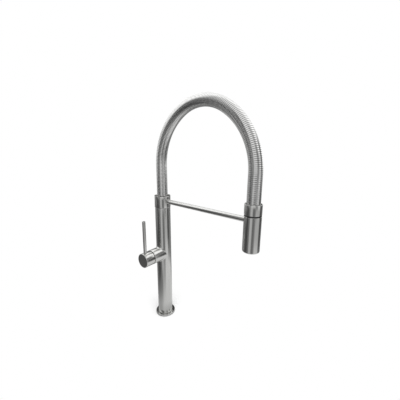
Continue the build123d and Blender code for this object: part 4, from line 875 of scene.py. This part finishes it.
class MIXER_OT_hose(bpy.types.Operator):
    """Makes the ribbed hose over the arch and the water hose inside it"""

    bl_idname = "mixer.hose"
    bl_label = "Ribbed hose"

    def execute(self, context):
        shape, finish = context.scene.mixer_shape, context.scene.mixer_finish
        legs = (LOWER_COLLAR.low[2] + COLLAR_SEAT, UPPER_COLLAR.low[2] + COLLAR_SEAT)
        length = self.route(np.zeros(1), legs, shape)[2]
        share, radius = self.ribs(int(round(length / shape.rib_pitch)), length, legs, shape)
        out, back = np.linspace(0, 1, SMOOTH_RINGS), np.linspace(1, 0, SMOOTH_RINGS)
        skin = self.tube(
            np.concatenate([share, back]),
            np.concatenate([radius, HOSE_BORE + 0 * back]),
            legs, shape, HOSE_SEGMENTS,
        )
        # Rolled and buffed strip: the crests are bright and sharp. Between them the steel is left
        # rough where the wheel doesn't reach, and it is painted dark grey as shade in the gaps.
        polished = brushed_steel(
            "ribbed_stainless_hose", finish.hose_steel, Z, finish.hose_roughness, 0.0
        )
        jacket = new_piece(
            "hose_jacket_finish", skin, polished, "hose_jacket",
            sharp=NEVER_SHARP,
        )
        # Second material for the groove faces: dark grey as painted shade in the gaps, rougher as
        # unpolished steel.
        jacket.data.materials.append(
            brushed_steel(
                "unpolished_shaded_gap", finish.hose_gap_shade, Z, GAP_DULLNESS * finish.hose_roughness, 0.0
            )
        )
        # Picks the faces in the grooves for the painted-shade material.
        dull = np.zeros(len(jacket.data.polygons), np.int32)
        gaps = np.repeat(self.in_gap(radius, shape), HOSE_SEGMENTS)
        dull[: len(gaps)] = gaps
        jacket.data.polygons.foreach_set("material_index", dull)
        self.bend(jacket)

        # Extruded rubber: dull black.
        radius = np.concatenate([WATER_HOSE_RADII[0] + 0 * out, WATER_HOSE_RADII[1] + 0 * back])
        water = new_piece(
            "inner_hose_finish",
            self.tube(np.concatenate([out, back]), radius, legs, shape, WATER_HOSE_SEGMENTS),
            plain_finish("black_rubber", finish.black, 0.6),
            "inner_hose", sharp=SHARP_IN_HOSE,
        )
        self.bend(water)
        return {"FINISHED"}

    def ribs(self, count, length, legs, shape):
        """Radii along the hose. Across one rib, at s from 0 to 1 between two grooves' middles, the
        crest swells by bulge * (1 - (2s - 1)^2), and within a groove's half width g of either end
        the radius drops by depth * (1 - t*t*(3 - 2t)), with t rising from the groove's floor to
        its mouth. On the straight legs the ribs close up, so that the grooves are narrower and the
        crests rounder there, and both change by the same smooth step about the leg's end. The leg
        that stands on the column bears the arch, so it closes most and stays so further up."""
        middles = (np.arange(count) + 0.5) / count * length
        past_standing = middles - (shape.spring_height - legs[0]) - STANDING_REACH
        past_hanging = length - (shape.spring_height - legs[1]) - middles
        past = np.minimum(past_standing, past_hanging)
        bent = np.clip(past / OPENING + OPENED_AT_END, 0, 1)[:, None]
        bent = bent * bent * (3 - 2 * bent)
        closed = np.where(middles < length / 2, STANDING_GROOVE, HANGING_GROOVE)[:, None]
        width = closed + (1 - closed) * bent
        half_mouth, half_floor = width * shape.groove_mouth / 2, width * shape.groove_floor / 2
        side = np.hstack(
            [half_floor, (half_floor + half_mouth) / 2, half_mouth, half_mouth + shape.crest_margin]
        )
        s = np.hstack([side, np.full((count, 1), 0.5), 1 - side[:, ::-1]])
        t = np.clip((np.minimum(s, 1 - s) - half_floor) / (half_mouth - half_floor), 0, 1)
        crest = (JACKET.high - JACKET.low)[0] / 2
        radius = crest - shape.rib_bulge * (3 - 2 * bent) * (2 * s - 1) ** 2
        radius -= shape.rib_depth * (1 - t * t * (3 - 2 * t))
        share = (np.arange(count)[:, None] + s) / count
        return share.ravel(), radius.ravel()

    def in_gap(self, radius, shape):
        """Which bands of faces lie in a groove: those with an edge a quarter of the ribs' depth
        or more below the crests."""
        low = radius < radius.max() - shape.rib_depth / 4
        return (low | np.roll(low, -1)).astype(np.int32)

    def route(self, share, legs, shape):
        """Places and directions, in the arch's own plane, at these shares of the hose's length,
        and that length. The line is five stretches: a straight leg, a haunch arc, the crown arc, a
        haunch arc and a straight leg. On an arc that turns left from heading h at radius r, after
        a distance d: place = start + r (sin(h + d/r) - sin h, cos h - cos(h + d/r))."""
        crown, spring = shape.crown_radius, shape.spring_height
        rise = JACKET.high[2] - JACKET.high[0] - spring - crown
        spread = REACH / 2 - crown
        offset = (rise ** 2 + spread ** 2) / (2 * spread)
        haunch_turn = np.arcsin(rise / offset)
        haunch = crown + offset
        stretches = (
            (spring - legs[0], 0.0),
            (haunch * haunch_turn, haunch),
            (crown * (pi - 2 * haunch_turn), crown),
            (haunch * haunch_turn, haunch),
            (spring - legs[1], 0.0),
        )
        total = sum(length for length, _ in stretches)
        distance = share * total
        place = np.zeros((len(share), 2))
        heading = np.zeros(len(share))
        start, turned, passed = np.array([0.0, legs[0]]), pi / 2, 0.0
        for length, radius in stretches:
            d = np.clip(distance - passed, 0, length)
            on = distance >= passed - 1e-12
            if radius:
                angle, end = turned + d / radius, turned + length / radius
                sideways, upwards = np.sin(angle) - sin(turned), cos(turned) - np.cos(angle)
                step = radius * np.stack([sideways, upwards], axis=-1)
                last = radius * np.array([sin(end) - sin(turned), cos(turned) - cos(end)])
            else:
                angle = turned + 0 * d
                step = d[:, None] * np.array([cos(turned), sin(turned)])
                last = length * np.array([cos(turned), sin(turned)])
            place[on] = (start + step)[on]
            heading[on] = angle[on]
            start = start + last
            turned += length / radius if radius else 0.0
            passed += length
        return place, heading, total

    def tube(self, share, radius, legs, shape, segments):
        """A closed skin round the route: at each share of its length a circle of the given radius,
        spanned by the X axis and the normal of the route in the arch's plane."""
        place, heading, _ = self.route(share, legs, shape)
        angle = np.linspace(0, 2 * pi, segments, endpoint=False)[None, :, None]
        centre = np.stack([0 * heading, place[:, 0], place[:, 1]], axis=-1)
        normal = np.stack([0 * heading, -np.sin(heading), np.cos(heading)], axis=-1)
        ring = np.cos(angle) * np.array([1.0, 0.0, 0.0]) + np.sin(angle) * normal[:, None]
        places = centre[:, None] + radius[:, None, None] * ring
        return places.reshape(-1, 3), grid_faces(len(share), segments, True)

    def bend(self, piece):
        """Bakes the piece's transform into its mesh."""
        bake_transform(piece)


# ======== Parts that keep their own shape ========


class MIXER_OT_inner_parts(bpy.types.Operator):
    """Gives the cartridge, fittings, seals and fasteners their finishes"""

    bl_idname = "mixer.inner_parts"
    bl_label = "Inner parts"

    def execute(self, context):
        finish = context.scene.mixer_finish
        finishes = {
            # Turned bright: a cool grey with soft highlights.
            "brushed_stainless": plain_finish("bright_stainless", finish.steel, 0.28, 1.0),
            "ribbed_steel_hose": plain_finish("bright_stainless_hose", finish.steel, 0.3, 1.0),
            # Drawn wire and stamped clips: a darker grey, still glossy.
            "plain_steel": plain_finish("spring_steel", hex_colour("#B4B4B2"), 0.3, 1.0),
            # Machined: warm yellow with a fine shimmer.
            "brass": plain_finish("machined_brass", finish.brass, 0.3, 1.0),
            # Plated: smooth, and a little warmer than steel.
            "magnet": plain_finish("nickel_plated_magnet", hex_colour("#C8C6C0"), 0.2, 1.0),
            # Moulded: an even colour with a soft sheen, and duller where glass fibres fill it.
            "black_plastic": plain_finish("black_acetal_inside", finish.black, 0.45),
            "grey_plastic": plain_finish("grey_glass_filled_nylon", hex_colour("#8B8C8D"), 0.5),
            "white_plastic": plain_finish("white_acetal", hex_colour("#E6E5DF"), 0.42),
            # Lapped flat: ivory with a sharp gloss.
            "ceramic": plain_finish("lapped_alumina", hex_colour("#EFEBE1"), 0.12),
            # Moulded soft: no gloss to speak of.
            "black_rubber": plain_finish("black_nitrile", hex_colour("#1D1D1E"), 0.62),
            "grey_silicone": plain_finish("grey_silicone", finish.silicone, 0.5),
        }
        slots = {row["node"]: row["material_slot"] for row in frame["record"]["subparts"]}
        for name, piece in frame["nodes"].items():
            piece.data.materials.clear()
            piece.data.materials.append(finishes[slots[name]])
        return {"FINISHED"}


# ======== Studio ========


class Card(NamedTuple):
    """A light or dark patch on the studio's dome, in degrees as seen from the dome's middle. The
    azimuth is zero behind the camera and grows to the right. The soft widths are how gently the
    patch ends to the sides and up and down."""

    what: str
    left: float
    right: float
    low: float
    high: float
    level: float
    soft_side: float
    soft_end: float

    def share(self, azimuth, elevation):
        """How much of the patch shows: 1 inside, 0 outside, a smooth step s*s*(3 - 2*s) between."""
        across = [
            self.step(azimuth + turn - self.left, self.soft_side)
            * self.step(self.right - azimuth - turn, self.soft_side)
            for turn in (-360, 0, 360)
        ]
        if self.right - self.left >= 360:
            across = [np.ones_like(azimuth)]
        upright = self.step(elevation - self.low, self.soft_end) * self.step(
            self.high - elevation, self.soft_end
        )
        return np.maximum.reduce(across) * upright

    @staticmethod
    def step(inside, soft):
        s = np.clip(inside / soft + 0.5, 0, 1)
        return s * s * (3 - 2 * s)


# Light and dark cards, set to give the steel the bands that the photograph shows in it.
# Each card lies over the ones before it.
CARDS = (
    Card("dark ground on the left", -180, -30, -90, -32, 0.26, 24, 14),
    Card("ground below the camera", -30, 26, -90, -42, 0.50, 16, 14),
    Card("pale ground on the right", 26, 136, -90, -34, 0.92, 16, 14),
    Card("ground by the base", -60, 60, -90, -60, 0.78, 40, 12),
    Card("dim band all round", -180, 180, -34, 3, 0.27, 1, 10),
    Card("pale strip far left", -150, -132, -9, 3, 0.95, 10, 8),
    Card("low dark card on the left", -110, -80, -42, -14, 0.11, 10, 10),
    Card("black card on the left", -84, -56, -42, 1, 0.08, 8, 8),
    Card("grey card on the left", -58, -36, -40, 2, 0.20, 8, 8),
    Card("pale panel left of the camera", -36, -8, -40, 3, 0.60, 10, 8),
    Card("dark strip below the camera", -3, 15, -34, 0, 0.19, 7, 8),
    Card("pale panel right of the camera", 26, 72, -30, 1, 0.55, 12, 10),
    Card("its foot", 30, 80, -46, -24, 0.80, 14, 14),
    Card("dark edge on the right", 77, 108, -25, 3, 0.10, 10, 10),
    Card("middle band all round", -180, 180, 2, 52, 0.60, 1, 6),
    Card("tall grey card on the left", -86, -32, 1, 52, 0.34, 8, 8),
    Card("its dark edge, low", -96, -70, -4, 18, 0.14, 8, 8),
    Card("its dark edge, high", -81, -64, 17, 31, 0.17, 8, 8),
    Card("dark bar on the left", -48, -33, 22, 54, 0.18, 8, 10),
    Card("pale card behind the camera", -27, 17, 3, 56, 0.82, 8, 6),
    Card("its top", -24, 16, 30, 60, 0.95, 10, 14),
    Card("grey bar on the right", 21, 42, -3, 34, 0.33, 10, 14),
    Card("bright card on the right", 48, 68, -3, 34, 0.85, 8, 10),
    Card("its top", 48, 72, 26, 60, 1.15, 10, 14),
    Card("dark card on the right", 72, 99, 3, 36, 0.24, 8, 8),
    Card("bright strip above it", 60, 104, 40, 58, 1.20, 12, 8),
    Card("softbox behind on the right", 101, 150, 8, 48, 1.35, 8, 8),
    Card("its dark edge", 97, 113, 30, 50, 0.50, 6, 8),
    Card("pale top all round", -180, 180, 54, 90, 0.95, 1, 14),
    Card("dim top on the left", -84, -36, 50, 68, 0.60, 20, 14),
    Card("softbox on the left", -172, -86, 7, 90, 0.82, 10, 8),
    Card("its middle", -174, -84, 28, 90, 1.35, 12, 14),
    Card("its top", -178, -80, 40, 90, 1.60, 16, 14),
    Card("bright top on the right", 72, 190, 42, 90, 1.45, 14, 8),
    Card("black card behind", 180, 206, 7, 29, 0.06, 8, 7),
)
BARE_LEVEL = 0.45  # of the dome where no card lies
DOME_RINGS, DOME_SEGMENTS = 90, 180

FLOOR_HALF = 30.0  # half of the sheet's side, in metres
FLOOR_HEIGHT = -0.2 * MM
WHITENING = (0.024, 0.11)  # from the column: where the seen floor fades to plain white
OPENING_UP = (0.05, 0.20)  # from the sheet's centre: where the mirrored floor gives way to the dome
FLANGE_SHADE = 0.7  # of the floor's level, as mirrored right beside the flange: a painted shadow
FLANGE_SHADE_REACH = 30 * MM

AMBIENT_LEVEL = 0.8  # of the white surroundings on matt surfaces
LAMP_PLACE = (-0.5, -0.6, 1.9)
LAMP_AIM = (0.0, -0.1, 0.2)
LAMP_SIZE = 1.4  # across, in metres


class MIXER_OT_stage(bpy.types.Operator):
    """Sets the floor, the lamp, the studio dome that the steel mirrors, and the camera"""

    bl_idname = "mixer.stage"
    bl_label = "Studio"

    def execute(self, context):
        stage = context.scene.mixer_stage
        self.floor(stage)
        self.dome(stage)
        self.world(context.scene)
        self.lamp(stage)
        self.camera(context.scene, stage)
        context.scene.view_settings.view_transform = "Standard"
        return {"FINISHED"}

    def floor(self, stage):
        """A wide pale sheet just under the flange. Near the tap it is lit, keeps the shadow and
        shows in the steel, darkened beside the flange by a painted shadow. Further off it fades to
        plain white, and the steel mirrors the dome."""
        mesh = bpy.data.meshes.new("floor")
        corners = [
            (x * FLOOR_HALF, y * FLOOR_HALF, FLOOR_HEIGHT)
            for x, y in ((-1, -1), (1, -1), (1, 1), (-1, 1))
        ]
        mesh.from_pydata(corners, [], [(0, 1, 2, 3)])
        material, tree = empty_material("white_paper_floor")
        place = add_node(tree, "ShaderNodeTexCoord")
        distance = add_node(
            tree, "ShaderNodeVectorMath", {"operation": "LENGTH"}, {0: place.outputs["Object"]}
        )
        path = add_node(tree, "ShaderNodeLightPath")
        seen = add_node(
            tree, "ShaderNodeMath", {"operation": "MAXIMUM"},
            {0: path.outputs["Is Camera Ray"], 1: path.outputs["Is Transmission Ray"]},
        )
        whiten = self.fade(tree, distance, seen.outputs["Value"], *WHITENING)
        aside = add_node(
            tree, "ShaderNodeVectorMath",
            {"operation": "DISTANCE", 1: stage.sheet_centre}, {0: place.outputs["Object"]},
        )
        open_up = self.fade(tree, aside, path.outputs["Is Glossy Ray"], *OPENING_UP)
        lit = add_node(tree, "ShaderNodeBsdfDiffuse", {"Color": (*stage.floor, 1)})
        white = add_node(tree, "ShaderNodeEmission", {"Color": (1, 1, 1, 1), "Strength": 1.0})
        clear = add_node(tree, "ShaderNodeBsdfTransparent")
        # Painted shadow: the floor that the steel mirrors is darker right beside the flange.
        painted_flange_shadow = add_node(
            tree, "ShaderNodeMapRange",
            {
                "interpolation_type": "SMOOTHSTEP",
                "From Min": FLANGE.radius,
                "From Max": FLANGE.radius + FLANGE_SHADE_REACH,
                "To Min": FLANGE_SHADE * stage.floor_level,
                "To Max": stage.floor_level,
            },
            {"Value": distance.outputs["Value"]},
        )
        shade = add_node(
            tree, "ShaderNodeEmission",
            {"Color": (1, 1, 1, 1)}, {"Strength": painted_flange_shadow.outputs["Result"]},
        )
        paper = add_node(
            tree, "ShaderNodeMixShader", None,
            {0: whiten.outputs["Value"], 1: lit.outputs["BSDF"], 2: white.outputs["Emission"]},
        )
        mirrored = add_node(
            tree, "ShaderNodeMixShader", None,
            {0: open_up.outputs["Value"], 1: shade.outputs["Emission"], 2: clear.outputs["BSDF"]},
        )
        mixed = add_node(
            tree, "ShaderNodeMixShader", None,
            {
                0: path.outputs["Is Glossy Ray"],
                1: paper.outputs["Shader"],
                2: mirrored.outputs["Shader"],
            },
        )
        add_node(tree, "ShaderNodeOutputMaterial", links={"Surface": mixed.outputs["Shader"]})
        mesh.materials.append(material)
        floor = bpy.data.objects.new("floor", mesh)
        bpy.context.scene.collection.objects.link(floor)

    def fade(self, tree, distance, switch, near, far):
        """Rises from 0 at the near distance to 1 at the far one, for the switch's rays only."""
        rise = add_node(
            tree, "ShaderNodeMapRange",
            {"interpolation_type": "SMOOTHSTEP", "From Min": near, "From Max": far},
            {"Value": distance.outputs["Value"]},
        )
        return add_node(
            tree, "ShaderNodeMath",
            {"operation": "MULTIPLY"}, {0: rise.outputs["Result"], 1: switch},
        )

    def dome(self, stage):
        """What the steel mirrors of the studio: the cards' levels on a sphere round the
        tap, kept as an attribute of its points. Only reflections see it."""
        size = stage.dome_radius
        polar = np.linspace(0, pi, DOME_RINGS + 1)[1:-1]
        profile = np.stack([size * np.sin(polar), size * np.cos(polar)], axis=-1)
        profile = np.vstack([[0.0, size], profile, [0.0, -size]])
        vertices, faces = solid_lathe(profile, np.zeros(3), DOME_SEGMENTS)
        toward_camera = np.array(stage.camera_place) - HEAD_CENTRE / 2
        facing = np.degrees(np.arctan2(toward_camera[1], toward_camera[0]))
        azimuth = np.degrees(np.arctan2(vertices[:, 1], vertices[:, 0])) - facing
        azimuth = (azimuth + 180) % 360 - 180
        elevation = np.degrees(np.arcsin(np.clip(vertices[:, 2] / size, -1, 1)))
        level = np.full(len(vertices), BARE_LEVEL)
        for card in CARDS:
            share = card.share(azimuth, elevation)
            level = level * (1 - share) + card.level * share
        mesh = bpy.data.meshes.new("studio_dome")
        mesh.from_pydata((vertices + np.array(stage.dome_centre)).tolist(), [], faces)
        mesh.attributes.new("level", "FLOAT", "POINT").data.foreach_set("value", level)
        material, tree = empty_material("studio_cards")
        glow = add_node(tree, "ShaderNodeAttribute", {"attribute_name": "level"})
        light = add_node(tree, "ShaderNodeEmission", None, {"Strength": glow.outputs["Fac"]})
        add_node(tree, "ShaderNodeOutputMaterial", links={"Surface": light.outputs["Emission"]})
        material.cycles.emission_sampling = "NONE"
        mesh.materials.append(material)
        dome = bpy.data.objects.new("studio_dome", mesh)
        bpy.context.scene.collection.objects.link(dome)
        for ray in ("camera", "diffuse", "transmission", "shadow", "volume_scatter"):
            setattr(dome, "visible_" + ray, False)

    def world(self, scene):
        """White behind everything, and a plain level of light on matt surfaces."""
        world = bpy.data.worlds.new("studio")
        scene.world = world
        world.use_nodes = True
        tree = world.node_tree
        tree.nodes.clear()
        path = add_node(tree, "ShaderNodeLightPath")
        seen = add_node(
            tree, "ShaderNodeMath", {"operation": "MAXIMUM"},
            {0: path.outputs["Is Camera Ray"], 1: path.outputs["Is Glossy Ray"]},
        )
        seen_through = add_node(
            tree, "ShaderNodeMath", {"operation": "MAXIMUM"},
            {0: seen.outputs["Value"], 1: path.outputs["Is Transmission Ray"]},
        )
        strength = add_node(
            tree, "ShaderNodeMapRange", {"To Min": AMBIENT_LEVEL, "To Max": 1.0},
            {"Value": seen_through.outputs["Value"]},
        )
        light = add_node(
            tree, "ShaderNodeBackground",
            {"Color": (1, 1, 1, 1)}, {"Strength": strength.outputs["Result"]},
        )
        add_node(tree, "ShaderNodeOutputWorld", links={"Surface": light.outputs["Background"]})

    def lamp(self, stage):
        """One wide soft lamp above and in front of the tap."""
        data = bpy.data.lights.new("overhead_softbox", "AREA")
        data.shape = "DISK"
        data.size = LAMP_SIZE
        data.energy = stage.overhead
        lamp = bpy.data.objects.new("overhead_softbox", data)
        lamp.location = LAMP_PLACE
        aim = Vector(LAMP_AIM) - lamp.location
        lamp.rotation_mode = "QUATERNION"
        lamp.rotation_quaternion = aim.to_track_quat("-Z", "Y")
        lamp.visible_glossy = False
        bpy.context.scene.collection.objects.link(lamp)

    def camera(self, scene, stage):
        """The view along (cos p cos y, cos p sin y, -sin p), turned about itself by the roll."""
        yaw, pitch, roll = stage.camera_yaw, stage.camera_pitch, stage.camera_roll
        view = Vector((cos(pitch) * cos(yaw), cos(pitch) * sin(yaw), -sin(pitch)))
        right = Vector((sin(yaw), -cos(yaw), 0.0))
        up = right.cross(view)
        right, up = cos(roll) * right + sin(roll) * up, cos(roll) * up - sin(roll) * right
        data = bpy.data.cameras.new("camera")
        data.lens = stage.lens
        data.sensor_width = 36.0
        data.clip_start, data.clip_end = 0.01, 100.0
        camera = bpy.data.objects.new("camera", data)
        turn = Matrix((right, up, -view)).transposed().to_4x4()
        camera.matrix_world = Matrix.Translation(Vector(stage.camera_place)) @ turn
        scene.collection.objects.link(camera)
        scene.camera = camera


# ======== Panel and registration ========

STEPS = (
    MIXER_OT_inner_parts, MIXER_OT_column, MIXER_OT_handle, MIXER_OT_ring_and_arm,
    MIXER_OT_spray_head, MIXER_OT_hose, MIXER_OT_stage,
)
SETTINGS = (
    ("mixer_finish", MixerFinish),
    ("mixer_shape", MixerShape),
    ("mixer_stage", MixerStage),
)


class MIXER_PT_panel(bpy.types.Panel):
    """Lists the settings and the steps"""

    bl_idname = "MIXER_PT_panel"
    bl_label = "Kitchen Mixer"
    bl_space_type = "VIEW_3D"
    bl_region_type = "UI"
    bl_category = "Kitchen Mixer"

    def draw(self, context):
        for attribute, group in SETTINGS:
            box = self.layout.box()
            for name in group.__annotations__:
                box.prop(getattr(context.scene, attribute), name)
        for step in STEPS:
            self.layout.operator(step.bl_idname)


def register():
    """Registers the settings, the steps and the panel."""
    for attribute, group in SETTINGS:
        bpy.utils.register_class(group)
        setattr(bpy.types.Scene, attribute, PointerProperty(type=group))
    for step in STEPS:
        bpy.utils.register_class(step)
    bpy.utils.register_class(MIXER_PT_panel)


def unregister():
    """Removes them again."""
    bpy.utils.unregister_class(MIXER_PT_panel)
    for step in reversed(STEPS):
        bpy.utils.unregister_class(step)
    for attribute, group in reversed(SETTINGS):
        delattr(bpy.types.Scene, attribute)
        bpy.utils.unregister_class(group)


def main():
    """Builds the tap and its studio."""
    register()
    bpy.ops.mixer.inner_parts()
    bpy.ops.mixer.column()
    bpy.ops.mixer.handle()
    bpy.ops.mixer.ring_and_arm()
    bpy.ops.mixer.spray_head()
    bpy.ops.mixer.hose()
    bpy.ops.mixer.stage()


if __name__ == "__main__":
    main()
